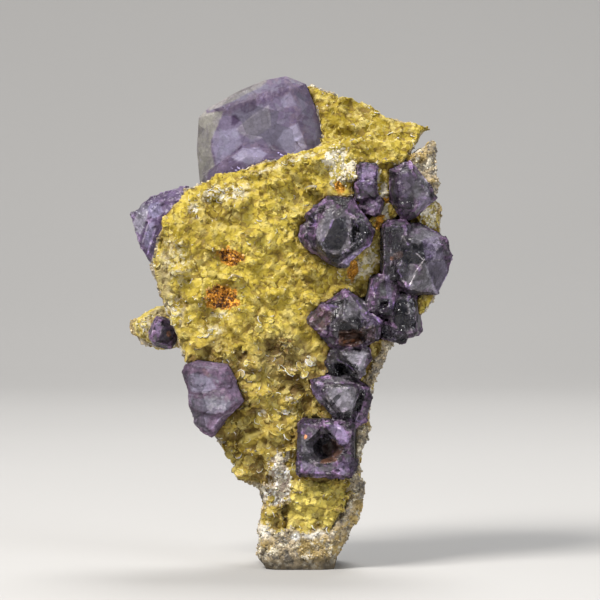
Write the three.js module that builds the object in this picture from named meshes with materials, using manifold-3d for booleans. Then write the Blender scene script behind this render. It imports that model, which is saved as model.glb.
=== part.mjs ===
/**
 * Fluorite specimen: a plate of rock crusted with yellow mica books, standing on its flat cut foot,
 * with purple fluorite cubes on its front, along both edges and behind its upper rim.
 *
 * Millimetres, +Z up. The front faces -Y, and the origin is the middle of the flat foot.
 */
import * as THREE from 'three';
import { ConvexGeometry } from 'three/addons/geometries/ConvexGeometry.js';
import { mergeVertices } from 'three/addons/utils/BufferGeometryUtils.js';
import Module from 'manifold-3d';

const wasm = await Module();
wasm.setup();

// Driving dimensions.
const crustFront = -9.5; // front of the mica crust, on the Y axis
const rockBack = 15; // furthest back that the rock bulges
const footHalfDepth = 9; // the foot reaches this far forwards and backwards
const seatGap = 0.3; // between a crystal and the rock or the crystal that it sits on
const bookRadius = 1.9; // of a mica book, a thin six-sided plate
const bookThickness = 0.9;
const frontBooks = 70; // on the front crust
const upperBooks = 12; // on the upper slope

// The outline of the front, as [x, z] points from the foot up, and along the top from left to right.
const leftSide = [
  [-6.4, 0], [-7.6, 2.2], [-7.8, 9.4], [-6.4, 13.4], [-7.6, 16.6], [-11.4, 18], [-14.2, 23.4],
  [-18.4, 30.4], [-21, 35.4], [-22.2, 42], [-25, 48.4], [-28, 56.4], [-29, 60.4], [-27.4, 69.4],
  [-25.4, 72.8], [-22, 76.4],
];
const rightSide = [
  [7.6, 0], [8.6, 3.4], [10.4, 7.2], [13, 10.2], [13, 23.4], [14.6, 29.8], [14.8, 35.4],
  [17, 42], [19.6, 46], [23.2, 48.4], [28.2, 55.4], [27.8, 62.4], [29.6, 69.4], [28, 72.4],
  [28.4, 79.4], [27.6, 86.4],
];
const upperRim = [
  [-22, 76.4], [-20, 77], [-16.4, 79.4], [-10.4, 80.8], [-4.4, 82.4], [0.6, 84.4], [4.2, 85.2],
  [9.6, 86.2], [15.6, 86.4], [27.6, 86.4],
];
const footLine = [leftSide[0], rightSide[0]];

// The upper slope, a second ledge of rock that rises behind the right half of the rim.
const slopeLeft = [[6, 70], [5.8, 85], [3.8, 92.6], [2, 98]];
const slopeRight = [[22, 70], [21.4, 82], [23.6, 84.6], [27.2, 89.4]];
const slopeTop = [
  [2, 98], [6.6, 96], [10.6, 94.8], [15, 94], [17.6, 91.4], [20.6, 90.8], [27.2, 89.4],
];
const slopeFoot = [slopeLeft[0], slopeRight[0]];

// The crack that parts the fin at the upper right from the slope, as [x, z] points.
const crack = [[20.4, 81], [25.4, 88.4], [29.4, 88.8], [29.4, 87.6], [24.6, 86.4]];
const crackDepth = { front: -14, back: 18 };

// The knob of rock that looks out behind the left edge.
const knob = { at: [-26.1, 4.4, 48.3], size: [7.6, 6.4, 4.5] };

/* ---- Helpers ---- */

// A closed solid for joining and cutting.
function solidOf(geometry) {
  const bare = geometry.clone();
  bare.deleteAttribute('normal');
  bare.deleteAttribute('uv');
  const merged = mergeVertices(bare, 1e-4);
  const mesh = new wasm.Mesh({
    numProp: 3,
    vertProperties: new Float32Array(merged.attributes.position.array),
    triVerts: new Uint32Array(merged.index.array),
  });
  return new wasm.Manifold(mesh);
}

// The geometry of a finished solid, with the crumbs that a cut leaves dropped.
function geometryOf(solid) {
  const pieces = solid.decompose().sort((a, b) => b.volume() - a.volume());
  const mesh = pieces[0].getMesh();
  const geometry = new THREE.BufferGeometry();
  geometry.setAttribute('position', new THREE.BufferAttribute(mesh.vertProperties, 3));
  geometry.setIndex(new THREE.BufferAttribute(mesh.triVerts, 1));
  geometry.computeVertexNormals();
  return geometry;
}

// Slow waves over the surface, between about -1 and 1.
function waves(x, z, length) {
  const a = x / length;
  const b = z / length;
  return 0.5 * Math.sin(2.1 * a + 1.3) * Math.sin(1.7 * b + 0.4)
    + 0.3 * Math.sin(3.9 * a + 2.3 * b)
    + 0.25 * Math.sin(5.2 * b - 3.1 * a + 2);
}

// Evenly scattered numbers from 0 to 1, the same on every run.
function scatter(index, step) {
  return (index * step) % 1;
}

// A patch of surface between four edges, each a list of [x, z] points: gives [x, z] at (u, v).
function patchOf(left, right, bottom, top) {
  const path = (points) => new THREE.Path(points.map(([x, z]) => new THREE.Vector2(x, z)));
  const [l, r, b, t] = [left, right, bottom, top].map(path);
  return (u, v) => {
    const across = l.getPointAt(v).multiplyScalar(1 - u).addScaledVector(r.getPointAt(v), u);
    const up = b.getPointAt(u).multiplyScalar(1 - v).addScaledVector(t.getPointAt(u), v);
    const low = b.getPointAt(0).multiplyScalar(1 - u).addScaledVector(b.getPointAt(1), u);
    const high = t.getPointAt(0).multiplyScalar(1 - u).addScaledVector(t.getPointAt(1), u);
    return across.add(up).addScaledVector(low, v - 1).addScaledVector(high, -v);
  };
}

// A thick slab: every point of a divided box goes where place(u, depth, v) says.
function slab(columns, layers, rows, place) {
  const geometry = new THREE.BoxGeometry(1, 1, 1, columns, layers, rows);
  const points = geometry.attributes.position;
  for (let i = 0; i < points.count; i += 1) {
    const p = place(points.getX(i) + 0.5, points.getY(i) + 0.5, points.getZ(i) + 0.5);
    points.setXYZ(i, p.x, p.y, p.z);
  }
  return solidOf(geometry);
}

// A convex crystal: its front face, its widest outline and its back, each [x, z] points.
function gem({ rim, face, front, shoulder, back }) {
  const bevel = shoulder - front;
  const ring = (outline, y) => outline.map(([x, z]) => new THREE.Vector3(x, y, z));
  return new ConvexGeometry([
    ...ring(face, front),
    ...ring(rim, shoulder),
    ...ring(rim, back - bevel),
    ...ring(face, back),
  ]);
}

// A block with bevelled edges, as a cube of fluorite grows: half its sides, and a turn in degrees.
function block({ at, half, bevel, turn = [0, 0, 0] }) {
  const corners = [];
  for (let i = 0; i < 8; i += 1) {
    const sign = [i & 1 ? 1 : -1, i & 2 ? 1 : -1, i & 4 ? 1 : -1];
    corners.push(new THREE.Vector3(...half.map((h, k) => sign[k] * (h - bevel / 2))));
    for (let face = 0; face < 3; face += 1) {
      corners.push(new THREE.Vector3(...half.map((h, k) => sign[k] * (k === face ? h : h - bevel))));
    }
  }
  const geometry = new ConvexGeometry(corners);
  const [rx, ry, rz] = turn.map(THREE.MathUtils.degToRad);
  geometry.applyMatrix4(new THREE.Matrix4().makeRotationFromEuler(new THREE.Euler(rx, ry, rz)));
  return geometry.translate(...at);
}

// A hollow to cut into a crystal's front: its mouth and its floor, each [x, z] points.
function hollow({ mouth, floor, front, depth }) {
  const ring = (outline, y) => outline.map(([x, z]) => new THREE.Vector3(x, y, z));
  return new ConvexGeometry([...ring(mouth, front), ...ring(floor, front + depth)]);
}

// A pointed crystal between the given [x, y, z] corners.
function peak(corners) {
  return new ConvexGeometry(corners.map((corner) => new THREE.Vector3(...corner)));
}

// The same shape grown by the seat gap on every side, for cutting its seat.
function seatOf(geometry) {
  const seat = geometry.clone();
  seat.computeBoundingBox();
  const middle = seat.boundingBox.getCenter(new THREE.Vector3());
  const size = seat.boundingBox.getSize(new THREE.Vector3());
  seat.translate(-middle.x, -middle.y, -middle.z);
  seat.scale(...size.toArray().map((side) => 1 + (2.6 * seatGap) / side));
  return seat.translate(middle.x, middle.y, middle.z);
}

/* ---- The rock and its mica crust ---- */

const frontPatch = patchOf(leftSide, rightSide, footLine, upperRim);
const slopePatch = patchOf(slopeLeft, slopeRight, slopeFoot, slopeTop);

// How far forward the crust lies at a point of the front patch.
function crustAt(u, v) {
  const { x, y: z } = frontPatch(u, v);
  const edge = Math.abs(2 * u - 1) ** 4;
  const lumps = 0.55 * waves(x, z, 9) + 0.5 * waves(z, x, 3.6) * Math.sin(Math.PI * v);
  const dip = 1.2 * Math.exp(-((x + 2) ** 2) / 30 - ((z - 11) ** 2) / 20);
  return crustFront + 2.4 * edge + 1.2 * v ** 8 + 0.8 * (1 - v) ** 6 + lumps + dip;
}

// The main body: the outline in front, drawn in towards the back, where the rock bulges.
function rockPoint(u, depth, v) {
  const outline = frontPatch(u, v);
  const spine = frontPatch(0.5, v);
  const drawnIn = 0.34 * depth ** 2 * Math.min(1, 5 * v);
  const x = THREE.MathUtils.lerp(outline.x, spine.x, drawnIn);
  const fall = 3 * depth ** 2 * v ** 6;
  const z = outline.y - fall + (v > 0 ? 0.5 * depth * waves(x, 40 * depth, 5) * v : 0);
  const bulge = Math.sin(Math.PI * (0.12 + 0.72 * v)) ** 0.5;
  const edge = Math.abs(2 * u - 1) ** 3;
  const back = footHalfDepth + (rockBack - footHalfDepth) * bulge - 4.5 * edge * bulge;
  const rough = 0.8 * waves(x, z, 6) + 0.4 * waves(z, x, 2.6);
  return new THREE.Vector3(x, THREE.MathUtils.lerp(crustAt(u, v), back + rough, depth), z);
}

// How far forward the upper slope lies: it leans back as it rises.
function slopeAt(u, v) {
  const { x, y: z } = slopePatch(u, v);
  return -6.5 + 0.62 * Math.max(0, z - 84) + 0.5 * waves(x, z, 5);
}

function slopePoint(u, depth, v) {
  const { x, y: z } = slopePatch(u, v);
  const back = 12.5 - 3.5 * Math.abs(2 * u - 1) ** 3 - 2 * v ** 4 + 0.5 * waves(z, x, 5);
  const drawnIn = 1.6 * depth * v;
  return new THREE.Vector3(
    x - drawnIn * u,
    THREE.MathUtils.lerp(slopeAt(u, v), back, depth),
    z - 1.4 * drawnIn,
  );
}

// A mica book seated on the crust: tilted its own way, a little sunk.
function book(x, y, z, index) {
  const radius = bookRadius * (0.75 + 0.55 * scatter(index, 0.618));
  const plate = new THREE.CylinderGeometry(radius, radius * 0.92, bookThickness, 6, 1);
  plate.rotateY(3.1 * scatter(index, 0.377));
  plate.rotateX(Math.PI / 2 + 1.1 * (scatter(index, 0.731) - 0.5));
  plate.rotateZ(1.1 * (scatter(index, 0.853) - 0.5));
  return solidOf(plate.translate(x, y - bookThickness / 3, z));
}

function books(count, patch, depthAt) {
  const made = [];
  for (let i = 1; i <= count; i += 1) {
    const u = 0.04 + 0.92 * scatter(i, 0.7549);
    const v = 0.1 + 0.88 * scatter(i, 0.5698);
    const { x, y: z } = patch(u, v);
    made.push(book(x, depthAt(u, v), z, i));
  }
  return made;
}

function knobSolid() {
  const lump = new THREE.IcosahedronGeometry(1, 2);
  const points = lump.attributes.position;
  for (let i = 0; i < points.count; i += 1) {
    const p = new THREE.Vector3().fromBufferAttribute(points, i);
    p.multiplyScalar(1 + 0.1 * waves(7 * p.x + 2 * p.y, 7 * p.z, 2));
    points.setXYZ(i, ...p.toArray());
  }
  return solidOf(lump.scale(...knob.size).translate(...knob.at));
}

function crackSolid() {
  const wedge = [crackDepth.front, crackDepth.back].flatMap(
    (y) => crack.map(([x, z]) => new THREE.Vector3(x, y, z)),
  );
  return solidOf(new ConvexGeometry(wedge));
}

/* ---- The crystals ---- */

const crystals = {
  top_crystal: {
    colour: 0x9288a4,
    parts: [
      gem({
        rim: [
          [-19.6, 77], [-20.3, 84.4], [-19.9, 91], [-18, 92.9], [-11.6, 96.5], [-6.5, 98.6],
          [-2.2, 99.4], [1.8, 97.8], [3.2, 94.4], [5, 90], [6.8, 84.6], [6.6, 74], [-14, 68],
        ],
        face: [
          [-16.8, 91.6], [-11.4, 93.8], [-1.4, 96.6], [0.2, 90.4], [1.8, 83.4], [1.8, 74.4],
          [-14.4, 72], [-17.4, 81.4],
        ],
        front: -4,
        shoulder: -1,
        back: 13,
      }),
      gem({
        rim: [
          [-20, 76.8], [-18.8, 79.8], [-13.4, 82.8], [-10.4, 84.8], [-3, 84], [-0.2, 83.2],
          [-1.4, 74], [-15, 72],
        ],
        face: [[-17.6, 78], [-13, 81.4], [-10, 83.2], [-3.4, 82.6], [-3.6, 75.4], [-14.6, 74]],
        front: -6.4,
        shoulder: -5,
        back: 4,
      }),
    ],
  },
  left_back_crystal: {
    colour: 0x807a94,
    parts: [
      gem({
        rim: [
          [-33.6, 71.2], [-29.4, 74.9], [-26, 76.1], [-22.6, 77], [-21.2, 75.2], [-20, 66],
          [-24.4, 61], [-29.6, 61.6], [-31.9, 65.4], [-32.8, 68.4],
        ],
        face: [[-30.6, 71.4], [-26.2, 74.2], [-22.6, 74.6], [-21.6, 67.6], [-27.6, 63.4]],
        front: -5,
        shoulder: -2,
        back: 9,
      }),
    ],
  },
  left_small_crystal: {
    colour: 0x4c3d63,
    parts: [
      block({ at: [-26.9, -2.6, 47.5], half: [2.7, 2.6, 2.9], bevel: 1.3, turn: [10, 20, 14] }),
    ],
  },
  left_front_crystal: {
    colour: 0x8a80a6,
    parts: [
      gem({
        rim: [
          [-22.4, 41.4], [-19.8, 42.2], [-13.8, 41.6], [-12, 38.2], [-12.4, 35], [-21.4, 35.2],
          [-23, 40],
        ],
        face: [[-21.4, 40.4], [-14.6, 40.6], [-13.2, 38], [-13.8, 36], [-20.6, 36.2]],
        front: -13.6,
        shoulder: -12,
        back: -5,
      }),
      gem({
        rim: [[-21.8, 37.6], [-12.4, 38.4], [-10.6, 34.2], [-14.4, 30.4], [-20.6, 31], [-21.6, 33.4]],
        face: [[-20.2, 36.4], [-13.6, 36.8], [-12.2, 34], [-15, 31.8], [-19.4, 32.4]],
        front: -14.4,
        shoulder: -12.6,
        back: -5,
      }),
      gem({
        rim: [[-20.6, 33.4], [-13, 33], [-14.4, 30], [-16.8, 27], [-18.8, 27.8], [-20.6, 29.8]],
        face: [[-19.4, 32.2], [-14.6, 32], [-16.8, 28.4], [-19.2, 29.8]],
        front: -13.4,
        shoulder: -12,
        back: -5,
      }),
    ],
  },
  upper_small_crystals: {
    colour: 0x5b4a75,
    parts: [
      block({ at: [13.9, -8.6, 79.8], half: [1.9, 2.6, 2], bevel: 0.6, turn: [0, 4, 8] }),
      block({ at: [13.7, -9.2, 76.4], half: [2.2, 2.6, 2], bevel: 0.6, turn: [4, -6, 4] }),
      block({ at: [15, -8.6, 73.4], half: [2.2, 2.6, 2], bevel: 0.7, turn: [0, 18, -12] }),
    ],
  },
  round_crystal: {
    colour: 0x463b5a,
    parts: [
      gem({
        rim: [
          [3.2, 72.6], [6.2, 75.2], [11.1, 74.8], [12.8, 72.2], [15.6, 68.4], [14.4, 65.4],
          [8.8, 60.8], [6.4, 61.6], [3.4, 64], [2.4, 68],
        ],
        face: [
          [4.4, 66.2], [5.4, 71], [9.2, 72.6], [13, 70.4], [13.4, 66.6], [9.2, 63.2], [5.4, 64.2],
        ],
        front: -15.4,
        shoulder: -12.2,
        back: -5,
      }),
      gem({
        rim: [[0.6, 69.2], [2.4, 70.4], [6, 70.4], [6, 64], [3, 63.8], [1.2, 65.2], [0.3, 67]],
        face: [[2, 69], [5, 69.4], [5, 65], [2.6, 65.4], [1.6, 67]],
        front: -13.6,
        shoulder: -11.8,
        back: -6,
      }),
      block({ at: [5, -11.2, 71.4], half: [2.9, 2, 2.3], bevel: 0.7, turn: [0, -38, 6] }),
    ],
    pits: [
      hollow({
        mouth: [[10.4, 71.4], [13.2, 70.2], [13.8, 66.4], [10.8, 65], [11.4, 68.4]],
        floor: [[11.6, 69.8], [12.4, 69.4], [12.6, 67.4], [11.8, 67.2]],
        front: -16,
        depth: 2.4,
      }),
      hollow({
        mouth: [[7.4, 62.6], [11.8, 66], [12.8, 65.2], [8.4, 61.4]],
        floor: [[8.4, 62.6], [11.4, 64.8], [11.8, 64.4], [8.8, 62]],
        front: -15.8,
        depth: 2.6,
      }),
    ],
  },
  right_cluster: {
    colour: 0x5e4f78,
    parts: [
      gem({
        rim: [
          [21.6, 82], [23, 81.8], [27, 77], [27.6, 74.4], [23.8, 71], [21.4, 69.8], [18.4, 74.4],
          [18.6, 80.4],
        ],
        face: [[20.2, 79.4], [23, 80], [26, 75.8], [23.4, 73], [20.4, 73.4]],
        front: -12.6,
        shoulder: -9.8,
        back: -2,
      }),
      gem({
        rim: [
          [19.6, 69.8], [24.6, 69.8], [28.2, 67.8], [30.2, 66.4], [31, 62.8], [30.2, 60], [28.2, 55.6],
          [21.6, 55.2], [18.4, 58],
        ],
        face: [[22.2, 65.4], [25.4, 62.2], [22, 56.8], [20, 60.4]],
        front: -14.6,
        shoulder: -9.4,
        back: -1,
      }),
      block({ at: [19.6, -8.6, 64], half: [2.8, 4, 6.4], bevel: 1.2, turn: [0, 0, 10] }),
      block({ at: [17, -8.8, 55.2], half: [3, 3.4, 4.1], bevel: 1, turn: [0, 12, 8] }),
      block({ at: [21.5, -7.6, 51.2], half: [2.8, 3.6, 4.4], bevel: 0.9, turn: [0, -8, -14] }),
      block({ at: [19.6, -6.8, 48], half: [2.8, 3, 1.9], bevel: 0.7, turn: [6, 18, 0] }),
    ],
    pits: [
      hollow({
        mouth: [[16, 54.2], [18.6, 54.6], [19, 52], [16.4, 51.6]],
        floor: [[17, 53.6], [18, 53.6], [18, 52.6], [17.2, 52.6]],
        front: -12.8,
        depth: 1.8,
      }),
    ],
  },
  lower_chain: {
    colour: 0x55476e,
    parts: [
      gem({
        rim: [
          [9.6, 56.8], [5.7, 53.8], [3.8, 50.6], [3.8, 48.6], [6.7, 44.8], [11.6, 44], [16.4, 46.6],
          [17.2, 50.2], [14.2, 53.6],
        ],
        face: [[7.6, 50.8], [9.6, 54.6], [12.8, 52.6], [15.4, 50], [14.6, 47.2], [8.8, 46.6]],
        front: -13.4,
        shoulder: -11.2,
        back: -5,
      }),
      peak([
        [9.4, -12.6, 55.4], [9.2, -15.4, 50.8], [7, -13.2, 48.4], [12.4, -14.8, 48.8],
        [13.8, -12.6, 52.6], [8, -9, 47], [13.6, -9, 48], [9.6, -9, 55],
      ]),
      peak([
        [13.2, -12.4, 53], [14.4, -14.6, 50.4], [16.6, -12, 50], [13.4, -13.6, 48.8],
        [16, -9, 48.6], [13.4, -9, 52.6],
      ]),
      block({ at: [5.4, -10.4, 50.4], half: [2.6, 2.4, 2.6], bevel: 0.7, turn: [0, 42, 6] }),
      gem({
        rim: [
          [5.6, 41.6], [6.8, 45], [14.4, 44.8], [15, 42.8], [12.4, 38.6], [8.6, 38.2], [6.6, 39.8],
        ],
        face: [[7, 41.8], [8, 43.8], [13.4, 43.8], [13.6, 42.6], [11.8, 39.8], [8.6, 39.6]],
        front: -12.2,
        shoulder: -10.8,
        back: -5,
      }),
      gem({
        rim: [[8.8, 44.3], [14.3, 44], [12.4, 38.6], [11.6, 39]],
        face: [[9.6, 43.7], [13.4, 43.6], [12.1, 40]],
        front: -13.6,
        shoulder: -12.6,
        back: -8,
      }),
      gem({
        rim: [
          [2.7, 38.4], [6.8, 39.6], [11.8, 38.6], [14.4, 37], [15, 34.9], [13.8, 30], [11.3, 28.4],
          [8, 30.6], [5.2, 33.4], [3.2, 35.7],
        ],
        face: [[4.4, 37.6], [12.6, 37.4], [13.6, 34.8], [11.6, 30.4], [9.2, 31.2], [5.2, 35]],
        front: -12.8,
        shoulder: -11,
        back: -5,
      }),
      gem({
        rim: [
          [5.4, 37.8], [11.9, 37.8], [12.5, 36.7], [10.8, 31.8], [9.3, 31.4], [7, 33.5], [4.8, 36.4],
        ],
        face: [
          [6, 37.1], [11.5, 37.2], [11.8, 36.4], [10.4, 32.6], [9.4, 32.3], [7.4, 34], [5.6, 36.3],
        ],
        front: -14.6,
        shoulder: -13.8,
        back: -6,
      }),
      block({ at: [6, -8.4, 24.8], half: [5.7, 5.4, 5.8], bevel: 0.9, turn: [0, 1.5, -4] }),
      gem({
        rim: [[4.6, 30.2], [8, 30.4], [10.9, 28.3], [10.7, 25.2], [8.2, 25.7]],
        face: [[5.6, 29.6], [7.8, 29.6], [10, 28], [9.9, 26.2], [8.6, 26.4]],
        front: -15,
        shoulder: -14.2,
        back: -8,
      }),
    ],
    pits: [
      hollow({
        mouth: [[6.6, 48.4], [11.4, 48.9], [15.2, 48.6], [14.6, 45.8], [10.2, 44.5], [7.2, 45.4]],
        floor: [[9, 47.4], [12.2, 47.8], [12.8, 46.4], [10, 45.8]],
        front: -15.6,
        depth: 4.8,
      }),
      hollow({
        mouth: [[6.6, 41.9], [9.4, 42.2], [11.3, 39.2], [9.6, 38.2], [7.2, 39.4]],
        floor: [[8, 41], [9.2, 41], [10, 39.4], [8.6, 39.4]],
        front: -13,
        depth: 3,
      }),
      hollow({
        mouth: [[3.9, 35.9], [4.6, 36.2], [9, 31.1], [8.4, 30.6]],
        floor: [[4.8, 35.2], [5, 35.2], [8.3, 31.4], [8.1, 31.3]],
        front: -13.6,
        depth: 2.6,
      }),
      hollow({
        mouth: [[11.3, 32], [12.8, 36.2], [13.7, 35.8], [12.4, 31.6]],
        floor: [[12, 32.8], [12.8, 35.2], [13, 35.1], [12.2, 32.7]],
        front: -13.6,
        depth: 2.4,
      }),
      hollow({
        mouth: [[0.9, 26.1], [4.5, 29.4], [8.2, 25.7], [9.4, 24.6], [7.8, 22.1], [3.5, 21.7]],
        floor: [[4.8, 26.4], [6.6, 26.6], [7.8, 24.8], [7, 23.4], [5.2, 23.4]],
        front: -14.4,
        depth: 4.8,
      }),
      hollow({
        mouth: [[7.2, 20.4], [11.2, 24], [11.2, 20.4], [9.6, 19.3]],
        floor: [[8.4, 20.8], [10.6, 22.6], [10.6, 20.8], [9.6, 20.2]],
        front: -14,
        depth: 1,
      }),
    ],
  },
};

/* ---- The scene graph ---- */

const specimen = new THREE.Group();

function addPiece(name, solid, colour, roughness) {
  const material = new THREE.MeshStandardMaterial({ color: colour, roughness, metalness: 0 });
  const mesh = new THREE.Mesh(geometryOf(solid), material);
  mesh.name = name;
  specimen.add(mesh);
}

// Each crystal group is cut clear of the groups before it, and the rock clear of them all.
let seats = null;
for (const [name, { parts, pits = [], colour }] of Object.entries(crystals)) {
  let solid = parts.map(solidOf).reduce((a, b) => a.add(b));
  for (const pit of pits) solid = solid.subtract(solidOf(pit));
  if (seats) solid = solid.subtract(seats);
  addPiece(name, solid, colour, 0.15);
  const seat = parts.map(seatOf).map(solidOf).reduce((a, b) => a.add(b));
  seats = seats ? seats.add(seat) : seat;
}

let rock = slab(16, 3, 24, rockPoint)
  .add(slab(8, 2, 8, slopePoint))
  .add(knobSolid());
for (const plate of books(frontBooks, frontPatch, crustAt)) rock = rock.add(plate);
for (const plate of books(upperBooks, slopePatch, slopeAt)) rock = rock.add(plate);
rock = rock.subtract(crackSolid()).subtract(seats);
addPiece('matrix', rock, 0xb39a3c, 0.7);

export default specimen;
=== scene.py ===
# Fluorite specimen: purple fluorite cubes on a plate of rock crusted with yellow mica.
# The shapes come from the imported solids; this script gives them their fine surface and finish.
import bpy
import bmesh
import math
import numpy as np
from contextlib import contextmanager
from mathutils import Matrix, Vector, noise
from mathutils.bvhtree import BVHTree
from mathutils.kdtree import KDTree


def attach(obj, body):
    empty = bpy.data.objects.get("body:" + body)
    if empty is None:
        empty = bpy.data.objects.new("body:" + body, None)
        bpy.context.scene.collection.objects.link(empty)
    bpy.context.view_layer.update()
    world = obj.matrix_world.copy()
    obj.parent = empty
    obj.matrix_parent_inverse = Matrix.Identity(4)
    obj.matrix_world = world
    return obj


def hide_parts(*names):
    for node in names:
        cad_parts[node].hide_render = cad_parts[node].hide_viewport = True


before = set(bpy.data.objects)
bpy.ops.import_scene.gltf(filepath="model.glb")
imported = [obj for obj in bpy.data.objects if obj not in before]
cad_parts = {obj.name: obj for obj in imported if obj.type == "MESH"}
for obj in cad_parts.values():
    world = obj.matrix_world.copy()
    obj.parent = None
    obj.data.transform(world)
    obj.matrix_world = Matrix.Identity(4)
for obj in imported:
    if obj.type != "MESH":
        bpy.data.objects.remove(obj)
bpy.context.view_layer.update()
mm = 0.001
weldReach = 0.002 * mm
scene = bpy.context.scene


def addObject(name, data):
    made = bpy.data.objects.new(name, data)
    scene.collection.objects.link(made)
    return made


# 0 below low, 1 above high, and a soft rise between them.
def ramp(values, low, high):
    t = np.clip((values - low) / (high - low), 0, 1)
    return t * t * (3 - 2 * t)


# 1 between a soft start and a soft end.
def between(values, start, end):
    return ramp(values, *start) * (1 - ramp(values, *end))


def bell(off, width):
    return np.exp(-(off / width) ** 2)


def readVectors(mesh, key):
    flat = np.zeros(len(mesh.vertices) * 3, np.float32)
    mesh.vertices.foreach_get(key, flat)
    return flat.reshape(-1, 3).astype(float)


def writePoints(mesh, points):
    mesh.vertices.foreach_set("co", points.astype(np.float32).ravel())
    mesh.update()


def writeMasks(mesh, masks):
    for name, values in masks.items():
        layer = mesh.attributes.get(name) or mesh.attributes.new(name, "FLOAT", "POINT")
        layer.data.foreach_set("value", np.asarray(values, np.float32))


# Opens a mesh for work and puts the result back into it.
@contextmanager
def opened(mesh):
    bm = bmesh.new()
    bm.from_mesh(mesh)
    yield bm
    bm.to_mesh(mesh)
    bm.free()


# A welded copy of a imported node's mesh: the node itself stays as it is.
def weldedCopy(node, name):
    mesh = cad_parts[node].data.copy()
    mesh.name = name
    with opened(mesh) as bm:
        bmesh.ops.remove_doubles(bm, verts=bm.verts, dist=weldReach)
    mesh.materials.clear()
    return mesh


# Gives an object the mesh that it shows with its modifiers, and takes the modifiers off.
def bakeModifiers(made):
    evaluated = made.evaluated_get(bpy.context.evaluated_depsgraph_get())
    mesh = bpy.data.meshes.new_from_object(evaluated)
    made.modifiers.clear()
    made.data = mesh


def addRemesh(made, voxel):
    remesh = made.modifiers.new("even", "REMESH")
    remesh.mode = "VOXEL"
    remesh.voxel_size = voxel * mm
    remesh.use_smooth_shade = True


# Noise of several sizes at each point, between about -1 and 1. All lengths are in mm.
def fractal(points, size, octaves, seed):
    shift = Vector((seed, 2 * seed, 3 * seed))
    return np.array([noise.fractal(Vector(p) / size + shift, 0.8, 2.1, octaves) for p in points])


# Round swellings, 1 at their tops and 0 in the creases between them.
def swellings(points, size):
    reach = np.array([noise.voronoi(Vector(p) / size)[0][0] for p in points])
    return np.sqrt(np.clip(1 - (reach / 0.8) ** 2, 0, 1))


# Flat plates of about the given size, each leaning its own way: their height, -0.6 to 0.6.
def leaningPlates(points, size):
    heights = []
    for point in points:
        place = Vector(point) / size
        middle = noise.voronoi(place)[1][0]
        lean = 2 * noise.cell_vector(9.1 * middle) - Vector((1, 1, 1))
        heights.append((place - middle).dot(lean))
    return np.array(heights)


# Flat steps in height, from -1 to 1, one for each small block of the given size.
def blockSteps(points, size):
    nearest = [noise.voronoi(Vector(p) / size, distance_metric="CHEBYCHEV")[1][0] for p in points]
    return np.array([noise.cell(7.3 * place) for place in nearest])


# How far each point lies inside any of some zones, seen from the front. A zone is its middle x
# and z, half its width and height, all in mm, its strength, if not 1, and its turn in degrees.
# A high corner makes it square, and its border is as wide and as ragged as told.
def zoneMask(points, zones, border, ragged, corner=2):
    strongest = np.zeros(len(points))
    for x, z, halfWidth, halfHeight, *rest in zones:
        strength, turn = rest + [1, 0][len(rest):]
        cosine, sine = math.cos(math.radians(turn)), math.sin(math.radians(turn))
        across, up = points[:, 0] - x, points[:, 2] - z
        u = np.abs(cosine * across + sine * up) / halfWidth
        v = np.abs(cosine * up - sine * across) / halfHeight
        reach = (u ** corner + v ** corner) ** (1 / corner) + ragged
        inside = 1 - ramp(reach, 1 - border, 1 + border)
        strongest = np.maximum(strongest, strength * inside)
    return strongest


# How far each point lies inside an outline of straight sides, seen from the front.
def paneMask(points, corners, ragged):
    softness = 0.22
    inside = np.full(len(points), np.inf)
    for (x, z), (nextX, nextZ) in zip(corners, corners[1:] + corners[:1]):
        run, climb = nextX - x, nextZ - z
        off = ((points[:, 0] - x) * climb - (points[:, 2] - z) * run) / math.hypot(run, climb)
        inside = np.minimum(inside, off)
    return ramp(inside + ragged, -softness, softness)


# How near each point lies to a bent line of the given half width, seen from the front.
def strokeMask(points, corners, halfWidth):
    places, nearest = points[:, [0, 2]], np.full(len(points), np.inf)
    for first, second in zip(np.array(corners), np.array(corners)[1:]):
        along = second - first
        part = np.clip((places - first) @ along / (along @ along), 0, 1)
        nearest = np.minimum(nearest, np.linalg.norm(places - first - part[:, None] * along, axis=1))
    return bell(nearest, halfWidth)


# What material and geometry trees share: nodes, with their inputs set or linked, and sums.
# Where they are used, n stands for a material's tree and g for a geometry's.
class Tree:
    def add(self, kind, inputs={}, **settings):
        node = self.tree.nodes.new(kind)
        for key, value in settings.items():
            setattr(node, key, value)
        for key, value in inputs.items():
            self.put(node.inputs[key], value)
        return node

    def put(self, socket, value):
        if hasattr(value, "is_output"):
            self.tree.links.new(value, socket)
        elif value is not None:
            bareColour = socket.type == "RGBA" and len(value) == 3
            socket.default_value = (*value, 1) if bareColour else value

    def math(self, operation, first, second=0.0):
        return self.add("ShaderNodeMath", {0: first, 1: second}, operation=operation).outputs[0]

    def times(self, first, second):
        return self.math("MULTIPLY", first, second)

    def plus(self, first, second):
        return self.math("ADD", first, second)

    def minus(self, first, second):
        return self.math("SUBTRACT", first, second)

    def vector(self, operation, first, second):
        inputs = {0: first, "Scale" if operation == "SCALE" else 1: second}
        node = self.add("ShaderNodeVectorMath", inputs, operation=operation)
        return next(socket for socket in node.outputs if socket.enabled)


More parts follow.
